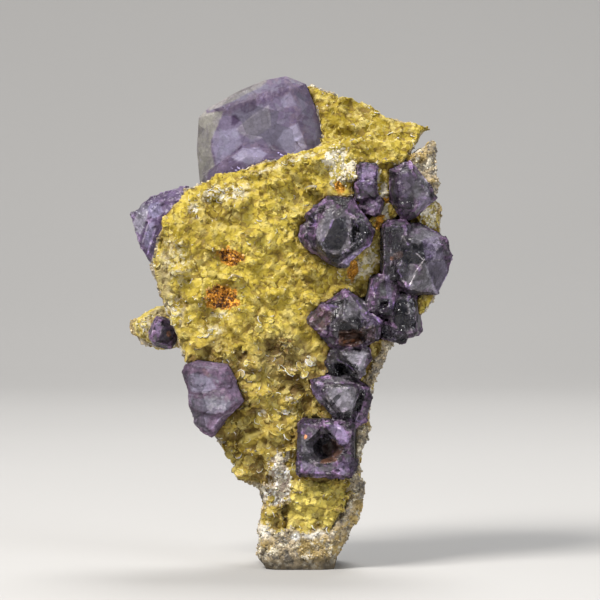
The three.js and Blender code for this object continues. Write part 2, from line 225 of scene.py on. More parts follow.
class Material(Tree):
    def __init__(self, name):
        self.material = bpy.data.materials.new(name)
        self.material.use_nodes = True
        self.tree = self.material.node_tree
        self.place = self.add("ShaderNodeTexCoord").outputs["Object"]

    def noise(self, size, detail=3.0, roughness=0.55, distortion=0.0):
        return self.add("ShaderNodeTexNoise", {
            "Vector": self.place, "Scale": 1 / (size * mm), "Detail": detail,
            "Roughness": roughness, "Distortion": distortion}).outputs["Fac"]

    def channel(self, colour, which):
        return self.add("ShaderNodeSeparateColor", {0: colour}).outputs[which]

    # One random number for each small block of the given size.
    def cellTone(self, size, distance="CHEBYCHEV"):
        cells = self.add("ShaderNodeTexVoronoi", distance=distance, inputs={
            "Vector": self.place, "Scale": 1 / (size * mm)})
        return self.channel(cells.outputs["Color"], 0)

    # Small flat facets, each leaning its own way by up to the given slope: their height in mm and
    # one random number for each. A warp bends their borders.
    def facets(self, size, slope, warp=0.0):
        place, middle = self.place, (0.5, 0.5, 0.5)
        if warp:
            drift = self.add("ShaderNodeTexNoise", {"Vector": place, "Scale": 0.8 / (size * mm)})
            drift = self.vector("SUBTRACT", drift.outputs["Color"], middle)
            place = self.vector("ADD", place, self.vector("MULTIPLY", drift, (warp * mm,) * 3))
        cells = self.add("ShaderNodeTexVoronoi", {"Vector": place, "Scale": 1 / (size * mm)})
        away = self.vector("SUBTRACT", place, cells.outputs["Position"])
        lean = self.vector("SUBTRACT", cells.outputs["Color"], middle)
        height = self.times(self.vector("DOT_PRODUCT", away, lean), 2 * slope / mm)
        return height, self.channel(cells.outputs["Color"], 1)

    # Thin lines, 1 along their middles, that wander through the body.
    def veins(self, size, width):
        off = self.math("ABSOLUTE", self.minus(self.noise(size, 3, 0.6, 1.5), 0.5))
        return self.spread(off, 0.3 * width, width, 1.0, 0.0)

    # A number that the mesh holds at each point, made as strong as told.
    def mask(self, name, strength=None):
        value = self.add("ShaderNodeAttribute", attribute_name=name).outputs["Fac"]
        return value if strength is None else self.times(value, strength)

    def spread(self, value, low, high, start=0.0, end=1.0):
        return self.add("ShaderNodeMapRange", {
            "Value": value, "From Min": low, "From Max": high, "To Min": start, "To Max": end},
            interpolation_type="SMOOTHSTEP").outputs["Result"]

    def blend(self, factor, first, second, **settings):
        inputs = {"Factor": factor, "A": first, "B": second}
        return self.add("ShaderNodeMix", inputs, **settings).outputs["Result"]

    def mix(self, factor, first, second, blend="MIX"):
        return self.blend(factor, first, second, data_type="RGBA", blend_type=blend)

    # A colour made lighter or darker by a number.
    def toned(self, tint, tone):
        return self.mix(1.0, tint, tone, "MULTIPLY")

    # Colours laid over each other, each as far as its number says. A name is one of the rock's.
    def layers(self, tint, *covers):
        named = lambda colour: rockColours[colour] if isinstance(colour, str) else colour
        tint = named(tint)
        for factor, cover in covers:
            tint = self.mix(factor, tint, named(cover))
        return tint

    def bump(self, height, distance, strength=1.0, under=None):
        return self.add("ShaderNodeBump", {
            "Height": height, "Distance": distance * mm, "Strength": strength,
            "Normal": under}).outputs["Normal"]

    def finish(self, inputs):
        for key, value in inputs.items():
            self.put(self.tree.nodes["Principled BSDF"].inputs[key], value)
        return self.material


thickest = 6e6     # books or grains to the square metre, where the mask is 1


class Geometry(Tree):
    def __init__(self, name, inputs):
        self.tree = bpy.data.node_groups.new(name, "GeometryNodeTree")
        sockets = self.tree.interface
        for way in ("INPUT", "OUTPUT"):
            sockets.new_socket("Geometry", in_out=way, socket_type="NodeSocketGeometry")
        self.identifiers = {}
        for label, value in inputs.items():
            kind = "NodeSocketInt" if isinstance(value, int) else "NodeSocketFloat"
            made = sockets.new_socket(label, in_out="INPUT", socket_type=kind)
            made.default_value = value
            self.identifiers[label] = made.identifier
        self.given = self.add("NodeGroupInput").outputs

    def combined(self, x, y, z):
        return self.add("ShaderNodeCombineXYZ", {"X": x, "Y": y, "Z": z}).outputs[0]

    def random(self, low, high, seed, kind="FLOAT"):
        node = self.add("FunctionNodeRandomValue", {"Seed": seed}, data_type=kind)
        slots = [socket for socket in node.inputs if socket.enabled]
        self.put(slots[0], low)
        self.put(slots[1], high)
        return next(socket for socket in node.outputs if socket.enabled)

    def named(self, name, kind="FLOAT"):
        return self.add("GeometryNodeInputNamedAttribute", {"Name": name}, data_type=kind).outputs[0]

    def stored(self, geometry, name, value, domain):
        inputs = {"Geometry": geometry, "Name": name, "Value": value}
        return self.add("GeometryNodeStoreNamedAttribute", inputs, data_type="FLOAT",
                        domain=domain).outputs[0]

    # Points no nearer than Spacing to each other, as thick as the mesh's own mask says.
    def scatter(self, densityName):
        return self.add("GeometryNodeDistributePointsOnFaces", {
            "Mesh": self.given["Geometry"], "Distance Min": self.given["Spacing"],
            "Density Max": thickest, "Density Factor": self.named(densityName),
            "Seed": self.given["Seed"]}, distribute_method="POISSON")

    def moved(self, points, offset):
        return self.add("GeometryNodeSetPosition", {"Geometry": points, "Offset": offset}).outputs[0]

    def aligned(self, vector, axis="Z", under=None, pivot="AUTO"):
        return self.add("FunctionNodeAlignRotationToVector", {"Vector": vector, "Rotation": under},
                        axis=axis, pivot_axis=pivot).outputs[0]

    def instances(self, points, piece, rotation, scale):
        return self.add("GeometryNodeInstanceOnPoints", {
            "Points": points, "Instance": piece, "Rotation": rotation, "Scale": scale}).outputs[0]

    # Joins the parts, makes them one real mesh of one material and sends it out.
    def finish(self, parts, material):
        joined = self.add("GeometryNodeJoinGeometry")
        for part in parts:
            self.put(joined.inputs[0], part)
        real = self.add("GeometryNodeRealizeInstances", {0: joined.outputs[0]})
        shaded = self.add("GeometryNodeSetShadeSmooth", {0: real.outputs[0], "Shade Smooth": False})
        made = self.add("GeometryNodeSetMaterial", {"Geometry": shaded.outputs[0], "Material": material})
        self.add("NodeGroupOutput", {0: made.outputs[0]})
        return self

    # Books or grains, each with its own tone.
    def finishScattered(self, made, seed, material):
        return self.finish([self.stored(made, "tone", self.random(0.0, 1.0, seed), "INSTANCE")], material)

    def apply(self, made, values):
        modifier = made.modifiers.new("made", "NODES")
        modifier.node_group = self.tree
        for label, value in values.items():
            modifier[self.identifiers[label]] = value


rock = {
    "voxel": 0.62,                      # mm, the coarse even mesh; the front is twice as fine
    "lumpSize": 4.4,                    # mm across the swellings that the mica grew over
    "lumpRise": 0.9,
    "plateSize": 2.1,                   # mm across the flat plates on them
    "plateRise": 0.52,
    "domeRise": 1.1,
    "breakSize": 6.5,                   # mm, lumps of the broken sides and back
    "breakRise": 0.75,
    "pebbleSize": 1.25,                 # mm, grains that stand out of the bare rock
    "pebbleRise": 0.3,
    "roughRise": 0.14,
    "shadeDepth": 1.3,
    "rustDepth": 0.5,
    "footHeight": 7.8,                  # mm, bare rock below this
    "footHigher": 5.6,                  # mm, how much higher it reaches on the left
    "footSide": (-3.0, -1.2),           # mm, x where it comes down again
    "partFoot": (6.6, 7.4),             # mm, x and height where the foot's mica ends on the right
    "partSlope": 0.6,                   # and how far it leans out as it rises
    "grooveEnds": ((7, 9), (15, 17)),   # mm, heights of the groove there
    "edgeWidth": 2.6,                   # mm of bare rock along the lower right edge
    "edgeEnds": ((6, 8), (44, 48)),     # mm, heights of that edge
    "finSide": (22.4, 23.8),            # mm, the bare fin at the upper right: x, lowest and highest
    "finFoot": (71, 73),
    "finCorner": (20.4, 82.2),
    "border": 0.4,                      # mm, how soft these borders are
    "seatReach": 0.75,                  # mm, the rock closes up to a crystal nearer than this
    "farthest": 3.0,                    # mm, how far off a crystal is looked for
}

# What lies where on the front: rust, cream beads, grey grit, silver flakes, hollows in painted
# shade, a pocket of mica in the foot, fresh mica, painted light on mica that lies in shadow, the
# top slope darkened to deep yellow as painted shade, worn parts, a smooth knob, domes.
rockZones = {
    "rust": [
        (-15.2, 54.7, 3.5, 2.5), (-13.4, 63, 2.5, 1.9), (8.7, 76.6, 0.9, 1.5, 0.6, 20),
        (11.2, 60.4, 0.9, 1.9, 0.65, -14), (16.6, 70.4, 1, 2.6, 0.65), (17.4, 74.4, 1.2, 0.7, 0.6),
    ],
    "beads": [
        (8.8, 81.2, 2.9, 4, 1, 20), (14.2, 62, 1.9, 5, 0.6, -32), (17.2, 72, 1.1, 6, 0.9),
        (16, 79.4, 0.8, 2.6, 0.9), (26.4, 71, 2, 2.6, 0.7),
    ],
    "grit": [(-3.6, 18.9, 2.1, 5.4, 1, -4), (-6.6, 15.4, 1.6, 2.2, 0.8)],
    "silver": [
        (-1, 82.2, 8, 0.5, 0.7, 19), (16.3, 93.3, 10.5, 0.5, 0.7, -21), (-14.2, 75.8, 4.8, 1.7, 0.9, 12),
        (-20.6, 72.2, 1.3, 1.6, 0.8), (-14.8, 51.4, 2.2, 0.7, 0.9), (-24.6, 51.5, 1.6, 3.4, 0.6),
        (-17.2, 48.2, 2.4, 1.2, 0.6), (-24, 62, 2.6, 5, 0.4), (2.8, 42.1, 0.9, 1),
        (-7, 31.9, 0.9, 0.6, 0.9), (-2.2, 31.8, 1.3, 0.6, 0.9), (0.6, 34.4, 0.9, 0.5, 0.9),
        (-30.2, 48.2, 3, 4.2, 0.55), (-6.2, 7.8, 1.3, 2, 0.4, 10), (-0.2, 6.8, 1, 0.7),
        (3, 7.2, 2, 0.9, 0.8, 10),
    ],
    "shade": [
        (-3.4, 43.4, 3.4, 4, 0.8), (-1, 37.6, 2.6, 3.2, 0.8), (-11.4, 43.6, 1.3, 1.4, 0.9),
        (-2.5, 10.8, 0.5, 2.2), (1.6, 33.6, 1.6, 2, 0.8), (-9.4, 28.4, 2.4, 0.7, 0.9),
        (5.6, 18.2, 5.4, 0.6, 0.6, -2),
    ],
    "pocket": [(-4.6, 10.6, 2.7, 2.4)],
    "fresh": [(3.6, 13.4, 5.4, 4.2, 1, -8)],
    # light: painted light on mica that lies in shadow
    "light": [(3.6, 13.2, 6, 5, 1, -8), (-4, 47.4, 5, 3, 0.4), (-8, 35, 6, 5, 0.2)],
    # deep: painted shade, darkening the top slope to deep yellow
    "deep": [(12.4, 90.4, 12, 6.6, 1, -12), (-3, 80.6, 8, 1.6, 0.4, 10)],
    "worn": [(-27.8, 55, 2.2, 9, 0.9, -10), (-23.4, 41.6, 1.4, 6, 0.7, 14), (-3.6, 43.4, 5, 4, 0.5)],
    "smooth": [(-29.8, 48.4, 5.6, 5.2)],
    "dome": [
        (-14.8, 73.6, 5.2, 4.8, 1, 10), (-4.8, 77.2, 3.6, 3.2, 0.8), (-1.2, 80.8, 3.2, 2.4, 0.7),
        (-24, 69.6, 3.6, 3.4, 0.9), (-2.6, 72, 4.8, 3.4, 0.8), (-21, 63.4, 3.4, 3, 0.6),
        (-8.4, 64.6, 4.4, 3.6, 0.7), (2, 60.2, 3.8, 3, 0.6), (-6.4, 56.6, 3.4, 2.8, 0.6),
        (-18.6, 58.4, 2.8, 3.2, 0.5), (-2.6, 48.4, 3, 2.6, 0.8), (-10.8, 49.4, 3.2, 2.6, 0.6),
        (-15.6, 46, 2.8, 2.2, 0.5), (-8.6, 41, 2.6, 2.2, 0.6), (1.6, 39.6, 2.4, 2.2, 0.6),
        (-7.6, 35.4, 2.6, 2, 0.6), (-12, 25.4, 2.8, 2.4, 0.6), (-3.6, 28.4, 2.6, 2.4, 0.6),
        (1.4, 14.2, 2.6, 2.2, 0.5), (6.4, 92, 3.4, 2.6, 0.7, -20), (13.4, 90.2, 3, 2.2, 0.6, -10),
        (12, 85.6, 3.4, 2.2, 0.6, -10), (20.4, 84.8, 2.6, 2, 0.5),
    ],
}

crystalNames = sorted(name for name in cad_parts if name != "matrix")


# The faces of all crystals, in mm, to find the one nearest to a point.
def crystalTree():
    bm = bmesh.new()
    for name in crystalNames:
        bm.from_mesh(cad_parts[name].data)
    bmesh.ops.scale(bm, vec=(1 / mm,) * 3, verts=bm.verts)
    tree = BVHTree.FromBMesh(bm)
    bm.free()
    return tree


# The front gets a mesh twice as fine as the sides and the back.
def refineFront(mesh):
    with opened(mesh) as bm:
        bm.normal_update()
        edges = [e for e in bm.edges if any(f.normal.y < -0.2 for f in e.link_faces)]
        bmesh.ops.subdivide_edges(bm, edges=edges, cuts=1, use_grid_fill=True)
        bmesh.ops.triangulate(bm, faces=[f for f in bm.faces if len(f.verts) > 4])


# Where the outline's right edge lies at each height of the front, in mm.
def rightEdge(points):
    front, stride = points[points[:, 1] < -4], 1.5
    heights = np.arange(0, 90, stride)
    edge = [front[np.abs(front[:, 2] - h) < stride, 0].max() for h in heights]
    return np.interp(points[:, 2], heights, edge)


# What grows where: one number from 0 to 1 at each point, for each kind of surface.
def rockMasks(points, normals, away):
    x, y, z = points.T
    ragged = fractal(points, 3.0, 3, 4.0)
    front = ramp(-normals[:, 1], 0.1, 0.45)
    frayed = 0.3 * ragged + 0.4 * fractal(points, 1.1, 2, 15.0)
    masks = {kind: zoneMask(points, zones, 0.4, frayed) * front for kind, zones in rockZones.items()}
    masks["dome"] = zoneMask(points, rockZones["dome"], 0.7, 0.3 * ragged) * front
    (partX, partZ), (finX, finZ), soft = rock["partFoot"], rock["finCorner"], rock["border"]
    partLine = partX + rock["partSlope"] * (z - partZ)
    inner = np.minimum(rightEdge(points) - rock["edgeWidth"], partLine)
    strip = ramp(x + 0.5 * ragged, inner - soft, inner + soft) * between(z, *rock["edgeEnds"])
    groove = bell(x - partLine, soft) * between(z, *rock["grooveEnds"])
    fin = ramp(x + ragged, *rock["finSide"]) * ramp(z, *rock["finFoot"])
    fin *= ramp(finZ + (x - finX) - z, -soft, soft)
    top = rock["footHeight"] + rock["footHigher"] * (1 - ramp(x + 0.6 * ragged, *rock["footSide"]))
    foot = 1 - ramp(z + 0.8 * ragged, top - 0.8, top + 0.8)
    bare = np.clip(strip + fin + foot, 0, 1) * (1 - masks["pocket"])
    wrapped = ramp(fractal(points, 11.0, 2, 9.0), -0.05, 0.2) * ramp(z, 8, 12)
    mica = front * (1 - bare) + (1 - front) * 0.8 * wrapped
    fresh = np.maximum(masks["fresh"], ramp(z + 5 * ragged, 36, 56))
    masks.update({
        "mica": mica, "bare": 1 - mica, "fresh": np.maximum(fresh, masks["smooth"]),
        "shade": np.clip(masks["shade"] + groove * front, 0, 1),
        # seat marks the rock next to a crystal, which gets painted shade; low marks the foot's bottom band,
        # painted darker as shade.
        "seat": 1 - ramp(away, 0.2, 1.5), "low": 1 - ramp(z + 1.2 * ragged, 1.6, 3.2)})
    return masks


# The rock with its crust: swellings, plates and hollows, closed up to the crystals.
def fineRock():
    fine = addObject("matrix_fine", weldedCopy("matrix", "matrix_fine"))
    addRemesh(fine, rock["voxel"])
    bakeModifiers(fine)
    mesh = fine.data
    refineFront(mesh)
    points = readVectors(mesh, "co") / mm
    normals = readVectors(mesh, "normal")
    z = points[:, 2]
    print("rock mesh:", len(points), "points", len(mesh.polygons), "faces")

    nearest, farthest = crystalTree(), rock["farthest"]
    hits = [nearest.find_nearest(Vector(p), farthest) for p in points]
    away = np.array([farthest if hit[3] is None else hit[3] for hit in hits])
    target = np.array([p if hit[0] is None else tuple(hit[0]) for p, hit in zip(points, hits)])
    masks = rockMasks(points, normals, away)
    mica, bare, fresh, smooth = (masks[kind] for kind in ("mica", "bare", "fresh", "smooth"))

    lumps = swellings(points, rock["lumpSize"])
    plates = leaningPlates(points, rock["plateSize"])
    pebbles = swellings(points - 40, rock["pebbleSize"])
    broken = fractal(points, rock["breakSize"], 4, 2.0)
    cracked = np.clip(0.4 - 1.6 * np.abs(fractal(points, 0.6 * rock["breakSize"], 3, 6.0)), -0.7, 0.3)
    calm = 1 - 0.15 * fresh - 0.6 * smooth
    rise = mica * (rock["lumpRise"] * calm * (lumps - 0.7) + rock["plateRise"] * plates)
    rise += bare * (rock["breakRise"] * (broken + cracked) + rock["pebbleRise"] * (pebbles - 0.5))
    rise += rock["roughRise"] * fractal(points, 0.9, 2, 1.0)
    rise += rock["domeRise"] * mica * (masks["dome"] - 0.35)
    rise -= rock["shadeDepth"] * masks["shade"] + rock["rustDepth"] * masks["rust"]
    rise *= ramp(away, 0.3, 1.2) * ramp(z, 0.2, 2.0)
    moved = points + normals * rise[:, None]
    pull = 0.9 * (1 - ramp(away, 0.6 * rock["seatReach"], rock["seatReach"]))
    moved += (target - points) * pull[:, None]
    moved[:, 2] = np.maximum(moved[:, 2], 0)
    writePoints(mesh, moved * mm)

    # Painted shade: the creases between swellings and under the plates, and the rock next to the crystals,
    # are coloured darker.
    creases = (1 - ramp(lumps, 0.3, 0.75)) + 0.7 * (1 - ramp(plates, -0.4, -0.05))
    creases *= 1 - 0.6 * fresh
    loose = np.clip(masks["rust"] + masks["beads"] + masks["grit"], 0, 1)
    clear = ramp(away, 0.25, 0.7) * ramp(z, 1.5, 3)
    flaky = ramp(fractal(points, 7.0, 2, 12.0), -0.4, 0.2)
    flaky = (0.25 + 0.75 * flaky) * (1 - 0.4 * masks["deep"]) * (1 - 0.95 * smooth)
    flaky = np.maximum(flaky * (1 - 0.3 * fresh), masks["silver"])
    grains = np.clip(0.75 * bare * ramp(-normals[:, 1], -0.3, 0.3) + loose, 0, 1) * clear
    masks.update({
        # Painted shade in the creases and next to the crystals, and lip, a painted highlight on the plates'
        # raised edges.
        "painted_shade": np.clip(creases + 0.8 * masks["seat"], 0, 1), "lip": ramp(plates, 0.2, 0.42),
        "books": mica * clear * (1 - loose) * flaky, "grains": grains * (1 - 0.9 * smooth)})
    for kind in ("mica", "pocket", "smooth", "dome", "seat"):      # the finish doesn't need these
        masks.pop(kind)
    writeMasks(mesh, masks)
    mesh.shade_smooth()
    return fine


rockColours = {
    # mica
    "deep": (0.29, 0.212, 0.016),
    "yellow": (0.47, 0.355, 0.042),
    "pale": (0.56, 0.445, 0.08),
    # light: painted light, for mica that lies in shadow
    "light": (0.80, 0.66, 0.15),
    "dull": (0.37, 0.26, 0.08),
    "weathered": (0.29, 0.245, 0.15),
    "painted_shade": (0.115, 0.062, 0.02),
    # rim: painted highlight, on the raised plate edges and on the books' edges
    "rim": (0.64, 0.53, 0.18),
    "silver": (0.76, 0.74, 0.67),
    # bare rock, grains and rust
    "grey": (0.17, 0.15, 0.125),
    "beige": (0.36, 0.29, 0.185),
    "cream": (0.60, 0.55, 0.43),
    "white": (0.72, 0.72, 0.70),
    "ochre": (0.36, 0.25, 0.065),
    "pink": (0.50, 0.40, 0.33),
    # dark: painted shade, in the gaps between grains and along the foot's bottom band
    "dark": (0.05, 0.038, 0.024),
    "amber": (0.44, 0.17, 0.015),
    "glow": (0.72, 0.37, 0.045),
    "burnt": (0.06, 0.02, 0.006),
}


# Overlapping plates: their height in mm, and where their raised and their sunk edges lie; the
# colour puts painted highlights on the raised edges and painted shade on the sunk ones.
def micaRelief(n):
    fresh = n.mask("fresh")
    small = n.facets(1.15, 0.55, 1.3)[0]
    large = n.facets(2.2, 0.5, 2.8)[0]
    raised = n.blend(fresh, n.spread(large, 0.26, 0.5), n.spread(small, 0.12, 0.26))
    sunk = n.blend(fresh, n.spread(large, -0.5, -0.14, 1, 0), n.spread(small, -0.24, -0.08, 1, 0))
    return n.blend(fresh, large, small), raised, sunk


# The colour of mica at a point: broad zones and worn parts, with painted shade in the creases, the
# shaded hollows, next to the crystals, on the sunk plate edges and on the top slope, painted
# highlights on the raised plate edges and painted light where the crust lies in shadow. tone is
# each book's own.
def micaTint(n, tone, raised, sunk):
    zone = n.plus(n.times(n.noise(7, 4), 0.9), n.times(tone, 0.16))
    silver = n.times(n.mask("silver"), n.spread(tone, 0.38, 0.55))
    return n.layers(
        "deep", (n.spread(zone, 0.32, 0.56), "yellow"), (n.spread(zone, 0.56, 0.76), "pale"),
        # the deep mask is painted shade on the top slope
        (n.mask("deep", 0.95), "deep"), (n.spread(n.mask("fresh"), 0, 1, 0.35, 0), "dull"),
        # the light mask is painted light on mica that lies in shadow
        (n.mask("light", 0.7), "light"), (n.mask("worn", 0.75), "weathered"),
        # painted shade in the creases, next to the crystals and in the shade zones
        (n.mask("painted_shade", 0.7), "painted_shade"), (n.mask("shade", 0.8), "painted_shade"),
        # painted shade on the sunk plate edges, painted highlights on the lips and raised edges
        (n.times(sunk, 0.55), "painted_shade"), (n.mask("lip", 0.4), "rim"), (n.times(raised, 0.4), "rim"),
        # silver flakes, shown more strongly on the raised edges as a painted highlight
        (n.times(silver, n.plus(n.times(raised, 0.6), 0.4)), "silver"))


# The colour of loose grains and bare rock. tone is each grain's own number.
def grainTint(n, tone):
    bare = n.layers(
        "grey", (n.spread(n.noise(1.3, 4, 0.65), 0.4, 0.56), "beige"),
        (n.spread(n.noise(7, 4, 0.6), 0.5, 0.6, 0, 0.7), "ochre"),
        (n.spread(n.noise(1.6, 5, 0.75), 0.53, 0.58, 0, 0.9), "cream"),
        (n.mask("silver", 0.8), "white"))
    beads = n.layers("pale", (n.spread(tone, 0.1, 0.5), "cream"))
    grit = n.layers(
        "pink", (n.spread(tone, 0.0, 0.6), "cream"), (n.spread(tone, 0.74, 0.9), "white"))
    fibre = n.plus(n.noise(0.8, 5, 0.8, 1.2), n.spread(tone, 0, 1, -0.04, 0.04))
    rust = n.layers(
        "burnt", (n.spread(fibre, 0.44, 0.52), "amber"), (n.spread(fibre, 0.54, 0.62), "glow"),
        (n.spread(n.mask("rust"), 0.5, 0.85, 0.6, 0), "glow"))
    tint = n.layers(
        bare, (n.spread(n.mask("beads"), 0.2, 0.6), beads),
        (n.spread(n.mask("grit"), 0.2, 0.6), grit), (n.spread(n.mask("rust"), 0.2, 0.5), rust))
    tint = n.toned(tint, n.spread(tone, 0, 1, 0.7, 1.25))
    # low: painted shade along the foot's bottom band
    return n.layers(tint, (n.mask("low", 0.75), "dark"))


def rockMaterial():
    n = Material("micaRock")
    bare = grainTint(n, n.cellTone(1.0, "EUCLIDEAN"))
    # Painted shade in the gaps between grains.
    gapShade = n.spread(n.noise(0.9, 5, 0.7), 0.38, 0.46, 0.8, 0)
    gapShade = n.times(gapShade, n.spread(n.mask("beads"), 0.1, 0.6, 1, 0.3))
    height, raised, sunk = micaRelief(n)
    crust = micaTint(n, n.spread(n.noise(1.0, 3), 0.35, 0.65), raised, sunk)
    loose = n.plus(n.plus(n.mask("rust"), n.mask("beads")), n.mask("grit"))
    showing = n.spread(n.plus(n.mask("bare"), loose), 0.3, 0.7)
    relief = n.bump(n.noise(1.2, 5, 0.65), 0.25, 0.7)
    covered = n.minus(1.0, n.mask("bare"))
    relief = n.bump(n.times(height, covered), 1.0, 1.0, relief)
    return n.finish({
        "Base Color": n.mix(showing, crust, n.layers(bare, (gapShade, "dark"))),
        "Roughness": n.spread(n.noise(1.4, 4), 0.3, 0.7, 0.8, 0.45),
        "Specular IOR Level": 0.25,
        "Normal": n.bump(n.noise(0.45, 3, 0.6), 0.22, 0.8, relief)})


# Light that seeps through thin pieces: how much of it, and how far in mm.
def seeping(weight, reach):
    return {"Subsurface Weight": weight, "Subsurface Radius": (1.0, 0.75, 0.2),
            "Subsurface Scale": reach * mm}


def micaMaterial():
    n = Material("micaBooks")
    tone = n.mask("tone")
    height, raised, sunk = micaRelief(n)
    tint = micaTint(n, tone, raised, sunk)
    tint = n.toned(tint, n.spread(n.noise(0.5, 3, 0.6), 0.3, 0.7, 0.8, 1.16))
    # Painted highlights: the books' side faces are painted pale, and the silver books' sides and a few
    # others near white as painted glints.
    chosen = n.math("MAXIMUM", n.mask("silver"), n.spread(tone, 0.8, 0.88, 0, 0.8))
    bright = n.plus(n.spread(tone, 0.1, 0.9, 0.1, 0.5), chosen)
    edge = n.layers("rim", (chosen, "white"))
    return n.finish({
        "Base Color": n.mix(n.times(n.mask("rim"), bright), tint, edge),
        "Roughness": n.spread(n.noise(0.8, 2), 0.3, 0.7, 0.5, 0.3),
        "Specular IOR Level": 0.3,
        "Normal": n.bump(n.noise(0.5, 3, 0.6), 0.1, 0.6, n.bump(height, 1.0, 0.7)),
        **seeping(0.4, 0.9)})


def grainMaterial():
    n = Material("rockGrains")
    return n.finish({
        "Base Color": grainTint(n, n.mask("tone")), "Roughness": 0.38,
        "Normal": n.bump(n.noise(0.4, 2), 0.08, 0.6), **seeping(0.25, 0.6)})


# Lean turns the books to face up, Tilt turns them at random, and Lift moves them off the crust.
bookLayers = {
    "mica_books": {"Spacing": 0.84 * mm, "Radius": 0.95 * mm, "Thickness": 0.14 * mm, "Sides": 7,
                   "Lean": 0.35, "Tilt": 1.0, "Lift": -0.17 * mm, "Fresh Size": 0.66, "Seed": 3},
    "mica_edges": {"Spacing": 1.1 * mm, "Radius": 0.64 * mm, "Thickness": 0.13 * mm, "Sides": 9,
                   "Lean": 0.2, "Tilt": 2.2, "Lift": -0.4 * mm, "Fresh Size": 0.7, "Seed": 8},
}
grainLayers = {
    "rock_grains": {"Spacing": 0.5 * mm, "Size": 0.33 * mm, "Seed": 5},
}
bookSizes = (0.4, 0.35, 0.8), (1.4, 1.2, 1.4)     # least and most, times the layer's own size
grainSizes = (0.4, 0.4, 0.4), (1.3, 1.2, 1.1)
bookTaper = 0.88
fullTurn = 6.28


def bookTree(material):
    g = Geometry("mica books", bookLayers["mica_books"])
    points = g.scatter("books")
    disc = g.add("GeometryNodeMeshCone", {
        "Vertices": g.given["Sides"], "Radius Top": g.times(g.given["Radius"], bookTaper),
        "Radius Bottom": g.given["Radius"], "Depth": g.given["Thickness"]}).outputs["Mesh"]
    upward = g.add("ShaderNodeSeparateXYZ", {0: g.add("GeometryNodeInputNormal").outputs[0]})
    # The disc's side faces, which the material paints pale as a highlight.
    side = g.math("LESS_THAN", g.math("ABSOLUTE", upward.outputs["Z"]), 0.9)
    book = g.stored(disc, "rim", side, "FACE")
    wander = g.random((-0.5, -0.5, -0.5), (0.5, 0.5, 0.5), 11, "FLOAT_VECTOR")
    aim = g.vector("ADD", points.outputs["Normal"], g.combined(0.0, 0.0, g.given["Lean"]))
    aim = g.vector("ADD", aim, g.vector("SCALE", wander, g.given["Tilt"]))
    spin = g.add("FunctionNodeEulerToRotation", {0: g.combined(0.0, 0.0, g.random(0.0, fullTurn, 5))})
    turned = g.add("FunctionNodeRotateRotation", {
        "Rotation": g.aligned(aim), "Rotate By": spin.outputs[0]}, rotation_space="LOCAL").outputs[0]
    lift = g.times(g.given["Lift"], g.random(0.6, 1.4, 21))
    size = g.random(*bookSizes, 17, "FLOAT_VECTOR")
    smaller = g.times(g.named("fresh"), g.minus(1.0, g.given["Fresh Size"]))
    size = g.vector("SCALE", size, g.minus(1.0, smaller))
    lifted = g.moved(points.outputs["Points"], g.vector("SCALE", points.outputs["Normal"], lift))
    return g.finishScattered(g.instances(lifted, book, turned, size), 29, material)


def grainTree(material):
    g = Geometry("rock grains", grainLayers["rock_grains"])
    grain = g.add("GeometryNodeMeshIcoSphere", {"Radius": g.given["Size"], "Subdivisions": 1})
    turned = g.random((0.0,) * 3, (fullTurn,) * 3, 7, "FLOAT_VECTOR")
    size = g.random(*grainSizes, 13, "FLOAT_VECTOR")
    points = g.scatter("grains").outputs["Points"]
    return g.finishScattered(g.instances(points, grain.outputs["Mesh"], turned, size), 19, material)


def scatterLayers(surface, geometry, layers):
    made = []
    for name, values in layers.items():
        holder = addObject(name, surface.data.copy())
        geometry.apply(holder, values)
        bakeModifiers(holder)
        print("scattered:", name, len(holder.data.polygons), "faces")
        made.append(holder)
    return made


# Stepped growth: blocks about Block across along the edges, standing out up to Rise, and flat
# plates about Plate across on the faces, Plates of them to the square metre.
growths = {
    "dark": {"Block": 0.7 * mm, "Rise": 0.2 * mm, "Chance": 0.65, "Plate": 1.2 * mm,
             "PlateRise": 0.1 * mm, "Plates": 1.8e5, "Seed": 4},
    "pale": {"Block": 0.55 * mm, "Rise": 0.06 * mm, "Chance": 0.12, "Plate": 2.4 * mm,
             "PlateRise": 0.03 * mm, "Plates": 1.2e4, "Seed": 6},
    "violet": {"Block": 0.6 * mm, "Rise": 0.16 * mm, "Chance": 0.6, "Plate": 1.4 * mm,
               "PlateRise": 0.18 * mm, "Plates": 3e5, "Seed": 7},
    "milky": {"Block": 0.6 * mm, "Rise": 0.12 * mm, "Chance": 0.5, "Plate": 1.6 * mm,
              "PlateRise": 0.07 * mm, "Plates": 6e4, "Seed": 9},
}
blockStep = 0.75 * mm             # between the blocks along an edge
creaseStep = 0.3 * mm             # between the places kept along a crease
creaseAngle = math.radians(14)    # a crease bends more than this
flatAngle = math.radians(4)       # faces that bend less than this become one
sliver = 0.12 * mm                # edges shorter than this go
plateDepth = 0.8 * mm

crystalSkins = {     # the others are dark
    "top_crystal": "pale", "left_back_crystal": "violet", "left_front_crystal": "milky",
}
